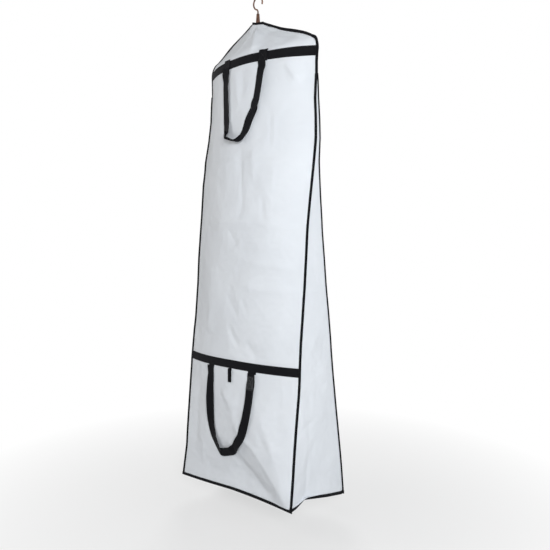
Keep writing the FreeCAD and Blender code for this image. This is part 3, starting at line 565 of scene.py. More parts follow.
def bonded_pattern(tree, given):
    """Pressed dimples on a slanted grid, over a fine tangle of fibres."""
    x, y, _ = add_node(tree, "ShaderNodeSeparateXYZ", {0: given["Coordinates"]}).outputs
    slanted = [math_node(tree, "DIVIDE", math_node(tree, operation, x, y), given["Dimple Pitch"])
               for operation in ("ADD", "SUBTRACT")]
    crossed = math_node(tree, "MULTIPLY", *[ridges(tree, phase) for phase in slanted])
    dimple = math_node(tree, "POWER", crossed, 0.5)
    fibres = add_node(tree, "ShaderNodeTexNoise", {
        "Vector": given["Coordinates"], "Scale": given["Fibre Scale"],
        "Detail": 4, "Roughness": 0.7, "Distortion": 1.2,
    }).outputs["Fac"]
    return {"Height": math_node(tree, "MULTIPLY_ADD", fibres, 0.6, dimple), "Fibre": fibres}


def woven_pattern(tree, given):
    """Ribs that run one way, crossed by threads that pass over every second rib."""
    x, y, _ = add_node(tree, "ShaderNodeSeparateXYZ", {0: given["Coordinates"]}).outputs
    phase = math_node(tree, "DIVIDE", x, given["Rib Pitch"])
    rib = ridges(tree, phase)
    every_second = math_node(tree, "FLOORED_MODULO", math_node(tree, "FLOOR", phase), 2.0)
    slant = math_node(tree, "MULTIPLY", math_node(tree, "FRACT", phase), 0.6)
    along_rib = math_node(tree, "DIVIDE", y, given["Thread Pitch"])
    shifted = math_node(tree, "ADD", along_rib, math_node(tree, "MULTIPLY", every_second, 0.5))
    thread = ridges(tree, math_node(tree, "ADD", shifted, slant))
    relief = math_node(tree, "MULTIPLY_ADD", thread, 0.6, 0.4)
    rounded = math_node(tree, "POWER", rib, 0.5)
    return {"Height": math_node(tree, "MULTIPLY", rounded, relief), "Thread": thread}


def uneven_pattern(tree, given):
    """Slow variation in two sizes, from 0 to 1."""
    cloud = add_node(tree, "ShaderNodeTexNoise", {
        "Vector": given["Coordinates"], "Scale": given["Scale"], "Detail": 5, "Roughness": 0.55,
    })
    stretched = add_node(tree, "ShaderNodeMapRange",
                         {"Value": cloud.outputs["Fac"], "From Min": 0.3, "From Max": 0.7})
    return {"Amount": stretched.outputs["Result"]}


patterns = {
    "bonded": pattern_group("bonded fibres", {"Dimple Pitch": 0.0014, "Fibre Scale": 1400.0}, bonded_pattern),
    "woven": pattern_group("woven ribs", {"Rib Pitch": 0.002, "Thread Pitch": 0.0012}, woven_pattern),
    "uneven": pattern_group("soft unevenness", {"Scale": 3.0}, uneven_pattern),
}
print("pattern groups:", ", ".join(tree.name for tree in patterns.values()))

# %% [markdown]
# ## Materials
# A finish starts from one Principled shader. Its colour moves between two close tones, its roughness
# follows the same mask, and the pattern's height feeds a Bump node. Numbers that are the same all over,
# such as sheen or coat, are typed into the shader itself.

# %% Helpers for materials
def start_material(name, **constants):
    material = bpy.data.materials.new(name)
    material.use_nodes = True
    shader = material.node_tree.nodes["Principled BSDF"]
    for socket, value in constants.items():
        shader.inputs[socket.replace("_", " ")].default_value = value
    return material, material.node_tree, shader


def flat_coordinates(tree):
    """The piece's own cloth coordinates, in metres."""
    return add_node(tree, "ShaderNodeUVMap", uv_map="flat").outputs["UV"]


def object_coordinates(tree):
    return tree.nodes.new("ShaderNodeTexCoord").outputs["Object"]


def pattern(tree, name, coordinates, **values):
    inputs = {socket.replace("_", " "): value for socket, value in values.items()}
    inputs["Coordinates"] = coordinates
    return add_node(tree, "ShaderNodeGroup", inputs, node_tree=patterns[name]).outputs


def varied(tree, mask, low, high):
    mapped = add_node(tree, "ShaderNodeMapRange", {"Value": mask, "To Min": low, "To Max": high})
    return mapped.outputs["Result"]


def finish_shader(tree, shader, tones, mask, rough, rough_mask, relief, depth):
    """Colour between two tones, roughness between two values and a bump, each led by its own mask."""
    dark, light = tones
    mix = {"A": (*dark, 1), "B": (*light, 1), "Factor": mask}
    colour = add_node(tree, "ShaderNodeMix", mix, data_type="RGBA")
    put(tree, shader.inputs["Base Color"], colour.outputs["Result"])
    put(tree, shader.inputs["Roughness"], varied(tree, rough_mask, *rough))
    bump = add_node(tree, "ShaderNodeBump", {"Strength": 1.0, "Distance": depth, "Height": relief})
    put(tree, shader.inputs["Normal"], bump.outputs["Normal"])


def bonded_material(name, *tones):
    material, tree, shader = start_material(
        name, Sheen_Weight=0.05, Sheen_Roughness=0.5, Specular_IOR_Level=0.2
    )
    felt = pattern(tree, "bonded", flat_coordinates(tree), Dimple_Pitch=0.0014, Fibre_Scale=1100.0)
    uneven = pattern(tree, "uneven", object_coordinates(tree), Scale=4.0)["Amount"]
    mask = math_node(tree, "MULTIPLY_ADD", felt["Fibre"], 0.35, math_node(tree, "MULTIPLY", uneven, 0.65))
    finish_shader(tree, shader, tones, mask, (0.72, 0.9), felt["Fibre"], felt["Height"], 0.00012)
    return material


def woven_material(name, dark, light, rib, thread, depth):
    material, tree, shader = start_material(
        name, Sheen_Weight=0.0, Sheen_Roughness=0.4, Specular_IOR_Level=0.05
    )
    weave = pattern(tree, "woven", flat_coordinates(tree), Rib_Pitch=rib, Thread_Pitch=thread)
    uneven = pattern(tree, "uneven", object_coordinates(tree), Scale=14.0)["Amount"]
    mask = math_node(tree, "MULTIPLY", weave["Height"], varied(tree, uneven, 0.6, 1.0))
    finish_shader(tree, shader, (dark, light), mask, (0.85, 0.6), weave["Thread"], weave["Height"], depth)
    return material


def metal_material(name, dark, light, metallic, rough, scale, coat=0.0):
    material, tree, shader = start_material(name, Coat_Weight=coat, Coat_Roughness=0.15, Metallic=metallic)
    uneven = pattern(tree, "uneven", object_coordinates(tree), Scale=scale)["Amount"]
    finish_shader(tree, shader, (dark, light), uneven, rough, uneven, uneven, 0.00005)
    return material


def wood_material(name, *tones):
    """Long grain: rings seen from the side, stretched along the arms, under a thin varnish."""
    material, tree, shader = start_material(name, Coat_Weight=0.4, Coat_Roughness=0.2)
    stretch = add_node(tree, "ShaderNodeMapping", {"Vector": object_coordinates(tree), "Scale": (6, 60, 45)})
    grain = add_node(tree, "ShaderNodeTexNoise", {
        "Vector": stretch.outputs["Vector"], "Scale": 2.0, "Detail": 6, "Distortion": 0.8,
    }).outputs["Fac"]
    finish_shader(tree, shader, tones, grain, (0.3, 0.5), grain, grain, 0.0001)
    return material


# %% The finishes of this bag
WOVEN = {  # dark and light tone, pitch of ribs and threads, depth of the weave
    "binding_tape": ((0.004, 0.004, 0.005), (0.011, 0.011, 0.013), 0.0011, 0.0007, 0.0001),
    "webbing": ((0.003, 0.003, 0.004), (0.012, 0.012, 0.014), 0.0021, 0.0013, 0.00022),
    "patch_webbing": ((0.012, 0.012, 0.013), (0.045, 0.045, 0.047), 0.0021, 0.0013, 0.00022),
    "zip_tape": ((0.004, 0.004, 0.005), (0.012, 0.012, 0.014), 0.0009, 0.0005, 0.00008),
}
SMOOTH = {  # dark and light tone, share of metal, range of roughness, scale of its unevenness, coat
    "zip_coil": ((0.012, 0.012, 0.013), (0.03, 0.03, 0.032), 0.0, (0.3, 0.45), 300),
    "zip_metal": ((0.02, 0.02, 0.022), (0.06, 0.06, 0.064), 0.6, (0.3, 0.45), 120, 0.3),
    "hook_metal": ((0.05, 0.022, 0.013), (0.20, 0.10, 0.065), 0.6, (0.3, 0.45), 60),
    "black_thread": ((0.006, 0.006, 0.007), (0.03, 0.03, 0.032), 0.0, (0.5, 0.7), 500),
    "grey_thread": ((0.09, 0.09, 0.09), (0.2, 0.2, 0.2), 0.0, (0.5, 0.7), 500),
    "white_thread": ((0.6, 0.61, 0.62), (0.8, 0.81, 0.82), 0.0, (0.6, 0.8), 500),
}
finishes = {
    "panel_fabric": bonded_material("panel_fabric", (0.71, 0.733, 0.768), (0.79, 0.813, 0.846)),
    "hanger_wood": wood_material("hanger_wood", (0.10, 0.035, 0.016), (0.28, 0.12, 0.06)),
}
finishes |= {name: woven_material(name, *row) for name, row in WOVEN.items()}
finishes |= {name: metal_material(name, *row) for name, row in SMOOTH.items()}
print(len(finishes), "finishes:", ", ".join(finishes))

# %% [markdown]
# ## Cutting and thickening the cloth
# The settled grids become meshes. Solidify gives the fabric its 1.2 mm, inward from the outer face, and
# one Subdivision Surface level rounds the folds. Each mesh carries a UV map named "flat": its cloth
# coordinates in metres, which the patterns read.

# %% Mesh helpers
def on_body(name, mesh, body, stands_for=()):
    """An object that rides on a body, stands for some nodes of the model and has a material slot."""
    piece = in_scene(name, mesh)
    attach(piece, body)
    if stands_for:
        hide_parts(*stands_for)
    return piece


def made_piece(name, points, faces, flat, finish, body, stands_for=(), smooth_angle=None):
    """A piece from points, faces and the cloth coordinates of the points."""
    mesh = bpy.data.meshes.new(name)
    mesh.from_pydata([tuple(p) for p in points], [], faces)
    layer = mesh.uv_layers.new(name="flat")
    corners = np.array([flat[loop.vertex_index] for loop in mesh.loops], np.float32)
    layer.data.foreach_set("uv", corners.ravel())
    mesh.shade_smooth()
    if smooth_angle:
        mesh.set_sharp_from_angle(angle=math.radians(smooth_angle))
    mesh.materials.append(finishes[finish])
    return on_body(name, mesh, body, stands_for)


def along(points):
    """Running length at each point of a path."""
    steps = np.linalg.norm(np.diff(points, axis=0), axis=1)
    return np.concatenate(([0.0], np.cumsum(steps)))


def cloth_piece(name, node, flip):
    grid = panels[name]
    rows, columns = grid.shape[:2]
    middle = columns // 2
    up = along(grid[:, middle])
    flat = [(along(grid[r])[c] - along(grid[r])[middle], up[r]) for r in range(rows) for c in range(columns)]
    piece = made_piece(name, grid.reshape(-1, 3), grid_faces(rows, columns, 0, not flip), flat,
                       "panel_fabric", "bag", [node])
    wall = piece.modifiers.new("thickness", "SOLIDIFY")
    wall.thickness = CLOTH
    wall.offset = -1
    smooth = piece.modifiers.new("rounding", "SUBSURF")
    smooth.levels = smooth.render_levels = 1
    area = sum(face.area for face in piece.data.polygons)
    print(f"{name}: {len(grid.reshape(-1, 3))} points, {area:.3f} m2 of cloth")
    return piece, area


# %% The six panels
CUTS = {
    "front_cloth": ("front_panel", False, (0.592, 1.80), ["hanger"]),
    "back_cloth_left": ("back_panel_left", True, (0.284, 1.80), ["hanger"]),
    "back_cloth_right": ("back_panel_right", True, (0.284, 1.80), ["hanger"]),
    "gusset_cloth_left": ("gusset_left", True, (0.31, 1.57), ["bottom_panel"]),
    "gusset_cloth_right": ("gusset_right", False, (0.31, 1.57), ["bottom_panel"]),
    "bottom_cloth": ("bottom_panel", True, (0.60, 0.30), ["foot_binding_front"]),
}
for name, (node, flip, flat_size, rests_on) in CUTS.items():
    piece, area = cloth_piece(name, node, flip)

# %% [markdown]
# ## Finding the cloth again
# Everything sewn to the front has to follow the cloth where it really settled. A ray cast from in front of
# the bag gives the outer face at any place.

# %% The settled front as a surface
front_grid = panels["front_cloth"]
front_tree = BVHTree.FromPolygons(
    [Vector(p) for p in front_grid.reshape(-1, 3)], grid_faces(*front_grid.shape[:2])
)


def front_at(x, z, outward=0.0):
    """A point on the settled front, or of a layer outward of it."""
    h = min(max(z - FOOT - lean(x, z - FOOT), 0.011), PANEL_TOP - 0.001)
    limit = half_width(h) - 0.0012
    start = Vector((min(max(x, drawn_in(-limit, h)), drawn_in(limit, h)), -1, z))
    hit = front_tree.ray_cast(start, Vector((0, 1, 0)))[0]
    y = hit.y if hit else skin(FRONT, start.x, h)
    return Vector((x, y - outward, z))


print(f"front stands at y = {front_at(0, FOOT + 0.2).y:.4f} m near the foot")

# %% [markdown]
# ## Tape and webbing
# Binding, bands, handles and zip tape are all strips: two edges, a thickness, and a slightly rounded
# section whose selvedges are thicker than its middle. One helper sweeps that section along any pair of
# edges, keeps its outward side steady through twists, and gives back the lines where it is stitched.

# %% A woven strip between two edges
def strip_section(width, thick, cells=4):
    """Section as (share across, height): selvedges at both sides, a hair lower between them."""
    edge = min(0.45 * thick / width, 0.2)
    upper = [(0.0, 0.72), (edge * 0.5, 1.0), (edge * 2, 1.0)]
    upper += [(share, 0.92) for share in np.linspace(edge * 3, 1 - edge * 3, cells)]
    upper += [(1 - edge * 2, 1.0), (1 - edge * 0.5, 1.0), (1.0, 0.72)]
    lower = [(share, 1.0 - height) for share, height in reversed(upper)]
    return [(share, height * thick) for share, height in upper + lower]


def frames_along(lows, highs, facing):
    """Middle, across and outward directions at each place of a strip."""
    lows, highs = np.array(lows, float), np.array(highs, float)
    middles = (lows + highs) / 2
    runs = np.gradient(middles, axis=0)
    across = highs - lows
    across /= np.linalg.norm(across, axis=1, keepdims=True)
    outs = np.cross(across, runs)
    outs /= np.linalg.norm(outs, axis=1, keepdims=True)
    hint = np.array(facing, float)
    for index, out in enumerate(outs):
        if np.dot(out, hint) < 0:
            outs[index] = -out
        hint = outs[index]
    return lows, highs, middles, outs


stitch_lines = {"bag": [], "upper_handle": [], "lower_handle": [], "patch": [], "zip": []}


def strip(name, lows, highs, thick, facing, finish, body, stands_for=(), lift=0.0, stitched=(), threads="bag",
          closed=False, slot=None, sewn_faces=(0.97,)):
    """A strip of tape whose underside lies lift above the two edges. It is stitched along the given
    shares of its width, at the given shares of its thickness."""
    lows, highs, middles, outs = frames_along(lows, highs, facing)
    width = float(np.linalg.norm(highs - lows, axis=1).mean())
    section = strip_section(width, thick)
    ran = along(middles)
    points, flat, faces = [], [], []
    for low, high, out, length in zip(lows, highs, outs, ran):
        for share, height in section:
            points.append(low + (high - low) * share + out * (lift + height))
            flat.append((share * width, length))
    ring = len(section)
    count = len(lows)
    for place in range(count if closed else count - 1):
        for side in range(ring):
            one = place * ring + side
            two = place * ring + (side + 1) % ring
            ahead = ((place + 1) % count - place) * ring
            faces.append((one, two, two + ahead, one + ahead))
    if not closed:
        faces.append(tuple(range(ring))[::-1])
        faces.append(tuple((count - 1) * ring + side for side in range(ring)))
    piece = made_piece(name, points, faces, flat, finish, body, stands_for, smooth_angle=50)
    outward_faces(piece.data)
    for share in stitched:
        for face in sewn_faces:
            raised = lift + thick * face
            stitch_lines[threads].append([low + (high - low) * share + out * raised
                                          for low, high, out in zip(lows, highs, outs)])
    return piece


def outward_faces(mesh):
    shell = bmesh.new()
    shell.from_mesh(mesh)
    bmesh.ops.recalc_face_normals(shell, faces=shell.faces)
    shell.to_mesh(mesh)
    shell.free()


def spread(start, end, step):
    return np.linspace(start, end, max(2, round(abs(end - start) / step) + 1))


# %% [markdown]
# ## Bindings
# Where two panels meet, a folded tape closes the raw edges and stands out as a fin 10 mm wide. The tapes
# run up the four edges of the side gussets, round the foot, and over the shoulders, where a wider tape
# holds both panels. Their inner edges lie a little over the cloth, as sewn tape does.

# %% Side and foot bindings
TAPE = 0.0024  # a folded tape's thickness
TUCK = 0.0016  # how far a tape's inner edge lies over the cloth
TAPE_TOP = 0.0115  # upper edge of the foot tapes
TAPE_SEAM = 0.28  # place of the stitches, as a share of the tape's width


def binding(name, lows, highs, facing, node, thick=TAPE, seam=TAPE_SEAM, closed=False):
    strip(name, lows, highs, thick, facing, "binding_tape", "bag", [node], lift=-thick / 2, stitched=(seam,),
          closed=closed)


side_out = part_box("front_binding_right")[1].x
seam_heights = spread(0.008, GUSSET_TOP - 0.011, 0.012)
for face, face_name in FACES:
    for side, side_name in SIDES:
        edges = [[hung(x, face * seam_depth(face, h), h) for h in seam_heights]
                 for x in (side * (HALF - TUCK), side * side_out)]
        binding(f"{face_name}_side_tape_{side_name}", *edges, (0, face, 0),
                f"{face_name}_binding_{side_name}")

foot_lines = {}
for face, name in FACES:
    line = [(x, face * seam_depth(face, 0)) for x in spread(-side_out, side_out, 0.012)]
    foot_lines[name] = (line, (0, face, 0))
for side, name in SIDES:
    line = []
    for y in spread(-SEAM_AT_FOOT + 0.001, seam_depth(BACK, 0) - 0.001, 0.008):
        share = (y + SEAM_AT_FOOT) / (2 * SEAM_AT_FOOT)
        line.append((side * (HALF + GUSSET_OUT - foot_kink(side, share)), y))
    foot_lines[name] = (line, (side, 0, 0))
for name, (line, facing) in foot_lines.items():
    edges = [[hung(x, y, h) for x, y in line] for h in (TAPE_TOP, 0.0)]
    binding(f"foot_tape_{name}", *edges, facing, f"foot_binding_{name}")


# %% Shoulder and neck bindings
def shoulder_edge(side):
    """Points of the panel's edge with their outward directions, from the gusset's top to the neck."""
    places = [((side * HALF, h), (side, 0)) for h in spread(GUSSET_TOP - 0.010, CORNER_LOW, 0.02)]
    for angle in np.linspace(0, math.pi / 2 - SLOPE, 10)[1:]:
        out = (side * math.cos(angle), math.sin(angle))
        middle = (side * (HALF - CORNER_RADIUS), CORNER_LOW)
        places.append(((middle[0] + CORNER_RADIUS * out[0], middle[1] + CORNER_RADIUS * out[1]), out))
    out = (side * math.sin(SLOPE), math.cos(SLOPE))
    for x in spread(half_width(CORNER_HIGH + 0.001), NECK_HALF, 0.012)[1:]:
        sag = 0.0015 * math.sin((x - NECK_HALF) * 34)
        places.append(((side * x, CORNER_HEIGHT + (HALF - x) * math.tan(SLOPE) - sag), out))
    return places


SHOULDER_TAPE = 0.0052  # it holds two panels, so it is thicker
SHOULDER_SHOWN = {"left": 0.5, "right": 0.78}  # shares of the tape's width that stand out
shoulder_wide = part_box("shoulder_binding_right")[1].x - HALF
for side, name in SIDES:
    lows, highs = [], []
    for (x, h), (out_x, out_h) in shoulder_edge(side):
        seam = hung(x, 0, h)
        out = Vector((out_x, 0, out_h))
        lows.append(seam - out * TUCK)
        highs.append(seam + out * shoulder_wide * SHOULDER_SHOWN[name])
    binding(f"shoulder_tape_{name}", lows, highs, (0, -1, 0), f"shoulder_binding_{name}", SHOULDER_TAPE, 0.24)

NECK_TAPE_X, NECK_TAPE_Y, NECK_WAVE = 0.0287, 0.0118, 0.0016
neck_low, neck_high = (corner.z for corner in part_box("neck_binding"))
lows, highs = [], []
for angle in np.linspace(0, 2 * math.pi, 48, endpoint=False):
    x = NECK_TAPE_X * math.cos(angle)
    y = NECK_TAPE_Y * math.sin(angle) * abs(math.sin(angle)) ** 0.35
    tilt = lean(x, PANEL_TOP)
    lows.append((x, y, neck_low - TUCK + tilt))
    highs.append((x, y, neck_high - NECK_WAVE + (NECK_WAVE * math.cos(2 * angle) + tilt)))
binding("neck_tape", lows, highs, (1, 0, 0), "neck_binding", seam=0.22, closed=True)

# %% [markdown]
# ## Bands across the front
# Two webbing bands carry the load of the handles. They lie flat on the cloth, sewn along both edges, and
# dip and turn with it.

# %% The two bands
WEBBING = 0.0016


def band_dip(name, x):
    """The upper band was sewn a little low on its left."""
    return 0.0045 * smooth_step(-x, -0.08, 0.12) if name == "upper_band" else 0.0


for name in ("upper_band", "lower_band"):
    low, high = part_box(name)
    reach_x = high.x
    edges = []
    for z in (low.z, high.z):
        h = z - FOOT
        edges.append([front_at(drawn_in(x, h), z + lean(x, h) - band_dip(name, x))
                      for x in spread(-reach_x, reach_x, 0.01)])
    strip(f"{name}_webbing", *edges, WEBBING, (0, -1, 0), "webbing", "bag", [name], lift=0.0001,
          stitched=(0.09, 0.91), slot="webbing")
print("bands", round(2 * reach_x, 3), "m long")

# %% [markdown]
# ## Handles
# Each handle is one length of webbing. Its two ends are sewn to the bag, and the loop between them hangs
# in front of the panel, turned partly on edge where the fabric has been twisted. The loop is described by
# stations: how far across, how far down, and how much the webbing is turned. Their values weren't chosen by
# hand: a search program fitted them to the loops' outline in a photograph. A smooth curve through them gives
# as many places as the strip needs. The upper loop ends at 180 degrees, because webbing that was folded over
# in storage often keeps half a twist. Each loop turns about a straight line just in front of its sewn ends,
# so that line is where it starts and stops.

# %% Stations of the two loops
STRAP, STRAP_THICK = 0.036, 0.002
STRAP_GAP = 0.0012  # a hanging loop stays this far off the cloth
LEAVES_LINE = (0.004, 0.049)  # drops between which a loop leaves its turning line for the cloth
HANDLES = {  # stations: share across, share of the drop, degrees of turn
    "upper": {
        "ends": (-0.080, 0.105), "drop": 0.275,
        "stations": [
            (0, 0, 0), (0, 0.065, -4), (-0.02, 0.097, -7), (-0.024, 0.235, 3), (0.001, 0.393, 2),
            (0.033, 0.569, 4), (0.049, 0.734, 3), (0.071, 0.824, 9), (0.095, 0.929, 20), (0.131, 0.95, 48),
            (0.226, 1.014, 84), (0.317, 1.008, 79), (0.402, 1.044, 91), (0.471, 1.006, 124),
            (0.531, 1.004, 155), (0.608, 0.955, 165), (0.664, 0.883, 175), (0.727, 0.782, 176),
            (0.817, 0.679, 173), (0.853, 0.632, 171), (0.862, 0.577, 169), (0.905, 0.504, 167),
            (0.95, 0.352, 164), (0.989, 0.135, 167), (1.003, 0.07, 176), (1, 0, 180),
        ],
    },
    "lower": {
        "ends": (-0.124, 0.106), "drop": 0.336,
        "stations": [
            (0.02, 0, 0), (0.02, 0.06, 2), (0.024, 0.164, -9), (0.024, 0.261, -14), (0.031, 0.402, -21),
            (0.034, 0.578, -14), (0.046, 0.685, -3), (0.092, 0.78, 3), (0.171, 0.864, 15), (0.292, 0.968, 22),
            (0.332, 0.984, 13), (0.487, 0.953, 17), (0.593, 0.925, 17), (0.684, 0.869, -8),
            (0.769, 0.798, -4), (0.865, 0.712, 3), (0.92, 0.607, 13), (0.948, 0.485, 7), (0.972, 0.345, 3),
            (0.987, 0.201, 2), (0.995, 0.115, 4), (0.998, 0.05, 0), (1, 0, 0),
        ],
    },
}
turning = {joint["name"]: joint for joint in frame["joints"]}


def turning_y(joint_name, x):
    joint = turning[joint_name]
    start, run = joint["pos_m"], joint["axis"]
    return start[1] + (x - start[0]) * run[1] / run[0]


def through(stations, steps=7):
    """A smooth curve through the stations."""
    known = np.array(stations, float)
    known = np.vstack((2 * known[0] - known[1], known, 2 * known[-1] - known[-2]))
    places = []
    for one, two, three, four in zip(known, known[1:], known[2:], known[3:]):
        for share in np.linspace(0, 1, steps, endpoint=False):
            places.append(0.5 * (2 * two + (three - one) * share
                                 + (2 * one - 5 * two + 4 * three - four) * share ** 2
                                 + (3 * two - one - 3 * three + four) * share ** 3))
    places.append(known[-2])
    return np.array(places)


def bridged(values, span=5):
    """The outermost value nearby, then its average, because webbing bridges small dents in the cloth."""
    def near(row, choose):
        padded = np.pad(row, span, mode="edge")
        return np.array([choose(padded[i:i + 2 * span + 1]) for i in range(len(row))])
    return near(near(np.array(values, float), np.min), np.mean)


def loop_edges(name):
    """The outer and inner edge of a hanging loop, in the middle of its thickness: one lies near the cloth
    and the other stands out where the webbing is turned."""
    handle = HANDLES[name]
    joint = f"{name}_handle_swing"
    top = turning[joint]["pos_m"][2]
    left, right = handle["ends"]
    course = np.array([(left + across * (right - left), top - down * handle["drop"], turned)
                       for across, down, turned in through(handle["stations"])])
    runs = np.gradient(course[:, :2], axis=0)
    runs /= np.linalg.norm(runs, axis=1, keepdims=True)
    angles = np.radians(course[:, 2])
    half_x = -runs[:, 1] * STRAP / 2 * np.cos(angles)
    half_z = runs[:, 0] * STRAP / 2 * np.cos(angles)
    edges = []
    for sign in (-1, 1):
        xs, zs = course[:, 0] + sign * half_x, course[:, 1] + sign * half_z
        cloth = bridged([front_at(x, z, STRAP_GAP + STRAP_THICK / 2).y for x, z in zip(xs, zs)])
        hanging = cloth - np.maximum(sign * STRAP * np.sin(angles), 0)
        edge = []
        for x, y, z, middle_z in zip(xs, hanging, zs, course[:, 1]):
            free = smooth_step(top - middle_z, *LEAVES_LINE)
            starting = turning_y(joint, x)
            edge.append(Vector((x, starting + (y - starting) * free, z)))
        edges.append(edge)
    return edges


# %% Loops, laps and sewn ends
def box_with_cross(low_edge, high_edge, start, stop, out, inset=0.14):
    """The stitched square with a cross that holds a webbing end, between two places of a strip."""
    def at(place, share):
        whole = min(int(place), len(low_edge) - 2)
        part = place - whole
        low = low_edge[whole] * (1 - part) + low_edge[whole + 1] * part
        high = high_edge[whole] * (1 - part) + high_edge[whole + 1] * part
        return low + (high - low) * share + out
    corners = [(start, inset), (start, 1 - inset), (stop, 1 - inset), (stop, inset)]
    sides = list(zip(corners, corners[1:] + corners[:1]))
    lines = []
    for a, b in sides + [(corners[0], corners[2]), (corners[1], corners[3])]:
        lines.append([at(a[0] + (b[0] - a[0]) * s, a[1] + (b[1] - a[1]) * s) for s in np.linspace(0, 1, 6)])
    return lines


for name, finish in (("upper", "webbing"), ("lower", "patch_webbing")):
    outer_edge, inner_edge = loop_edges(name)
    body = f"{name}_handle"
    strip(f"{name}_loop", outer_edge, inner_edge, STRAP_THICK, (0, -1, 0), "webbing", body,
          [f"{name}_handle_strap"], lift=-STRAP_THICK / 2, stitched=(0.08, 0.92), threads=body,
          sewn_faces=(0.97, 0.03))
    lap_low, lap_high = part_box(f"{name}_handle_lap")
    places = [i for i, (outer, inner) in enumerate(zip(outer_edge, inner_edge))
              if outer.x > 0 and lap_low.z < (outer.z + inner.z) / 2 < lap_high.z]
    outer_lap = [outer_edge[i].lerp(inner_edge[i], 0.03) for i in places]
    inner_lap = [outer_edge[i].lerp(inner_edge[i], 0.97) for i in places]
    strip(f"{name}_lap", outer_lap, inner_lap, STRAP_THICK, (0, -1, 0), finish, body,
          [f"{name}_handle_lap"], lift=STRAP_THICK * 0.4, slot="webbing")
    threads = "patch" if name == "lower" else body
    last = len(places) - 1
    stitch_lines[threads] += box_with_cross(outer_lap, inner_lap, last * 0.12, last * 0.88,
                                            Vector((0, -STRAP_THICK * 1.45, 0)))
    print(f"{name} loop: {along(np.array(outer_edge))[-1]:.3f} m of webbing along its outer edge")

SEWN_ENDS = {  # how far a sewn end reaches above its box, and how far it was sewn aside
    ("upper", "left"): (-0.007, 0.0), ("upper", "right"): (-0.001, 0.0),
    ("lower", "left"): (0.004, 0.006), ("lower", "right"): (0.004, 0.0),
}
OVER_BAND = {"upper": 0.0017, "lower": 0.0}
for (name, side_name), (above, aside) in SEWN_ENDS.items():
    node = f"{name}_handle_end_{side_name}"
    low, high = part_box(node)
    middle = HANDLES[name]["ends"][side_name == "right"] + aside
    zs = spread(low.z - 0.0005, high.z + above, 0.004)
    lows, highs = ([front_at(middle + half, z) for z in zs] for half in (-STRAP / 2, STRAP / 2))
    strip(f"{name}_end_{side_name}", lows, highs, STRAP_THICK, (0, -1, 0), "webbing", "bag", [node],
          lift=OVER_BAND[name] + 0.0002)
    if name == "upper":
        out = Vector((0, -(OVER_BAND[name] + STRAP_THICK + 0.0001), 0))
        stitch_lines["bag"] += box_with_cross(lows, highs, 1.5, len(zs) - 2.5, out)

# %% [markdown]
# ## The small hook loop
# A narrow tape loop hangs below the lower band, left of the handle's middle. When the bag is folded in
# half, the hanger's hook goes through it. It is one strip bent back on itself, with its ends sewn under
# the band.

# %% Hook loop
LOOP_THICK = 0.0014
loop_low, loop_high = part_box("hook_loop")
outer_radius = (loop_high.y - loop_low.y) / 2
middle_y, radius = (loop_low.y + loop_high.y) / 2, outer_radius - LOOP_THICK
bottom, top = loop_low.z + outer_radius, loop_high.z - outer_radius


def half_turn(centre, start, stop):
    return [(middle_y + radius * math.cos(angle), centre + radius * math.sin(angle))
            for angle in np.linspace(start, stop, 11)[1:-1]]


course = [(middle_y + radius, z) for z in spread(top, bottom, 0.005)] + half_turn(bottom, 0, -math.pi)
course += [(middle_y - radius, z) for z in spread(bottom, top, 0.005)] + half_turn(top, math.pi, 0)
edges = [[(x, y, z) for y, z in course] for x in (loop_low.x, loop_high.x)]
strip("hook_loop_strip", *edges, LOOP_THICK, (0, 1, 0), "webbing", "hook_loop", ["hook_loop"], closed=True)
low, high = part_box("hook_loop_end")
edges = [[front_at(x, z) for z in spread(low.z, high.z + 0.003, 0.003)] for x in (low.x, high.x)]
strip("hook_loop_stub", *edges, WEBBING, (0, -1, 0), "webbing", "bag", ["hook_loop_end"], lift=0.0002)
print("hook loop hangs", round(loop_high.z - loop_low.z, 3), "m")

# %% [markdown]
# ## The zip
# A zip runs down the middle of the back, where the two halves of the back panel stop short of each other.
# Its tapes are woven strips, its coil is a row of small loops on either side, and its slider has two
# plates round the coil. The coil repeats hundreds of times, so a node tree makes it: a line is cut to the
# coil's pitch and a small loop is set on every point.

# %% Zip tapes
ZIP_TAPE = 0.0008  # a tape's thickness
TAPE_FROM_MIDDLE, COIL_FROM_MIDDLE = 0.003, 0.0018
UNDER_PANEL, SEAM_FROM_EDGE = 0.001, 0.003  # past the panel's edge: the tape, and the seam that holds it
TAPE_TUCK = 0.011  # the tapes run on under the foot binding
TAPE_IN, TAPE_TURN = 0.0009, 0.0006  # how far in the tapes lie, and how much deeper their outer edges
tape_low, tape_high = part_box("zip_tape_right")


def zip_line(x, zs, inward):
    """A line down the back, beside its middle and inward of its outer face."""
    leaning = (NECK_REACH - FOOT_REACH) / PANEL_TOP
    return [(x, FOOT_REACH + leaning * (z - FOOT) - inward, z) for z in zs]


for side, name in SIDES:
    zs = spread(tape_low.z + 0.001, tape_high.z - 0.001, 0.05)
    run = [tape_low.z - TAPE_TUCK, *zs]
    inner = zip_line(side * TAPE_FROM_MIDDLE, run, TAPE_IN)
    outer = zip_line(side * (ZIP_EDGE + UNDER_PANEL), run, TAPE_IN + TAPE_TURN)
    strip(f"zip_tape_strip_{name}", inner, outer, ZIP_TAPE, (0, 1, 0), "zip_tape", "bag",
          [f"zip_tape_{name}"], stitched=(0.55,))
    stitch_lines["zip"].append(zip_line(side * (ZIP_EDGE + SEAM_FROM_EDGE), zs, -0.0002))

# %% [markdown]
# ## Node trees that repeat small shapes
# Both trees work alike: the input mesh is a set of lines, each line is resampled to an even pitch, and a
# small shape is placed on each point and turned along the line. Stitches are thread segments that sink
# into the webbing at both ends. Named inputs hold the sizes, and the tree ends by making the copies real
# and giving them their material.

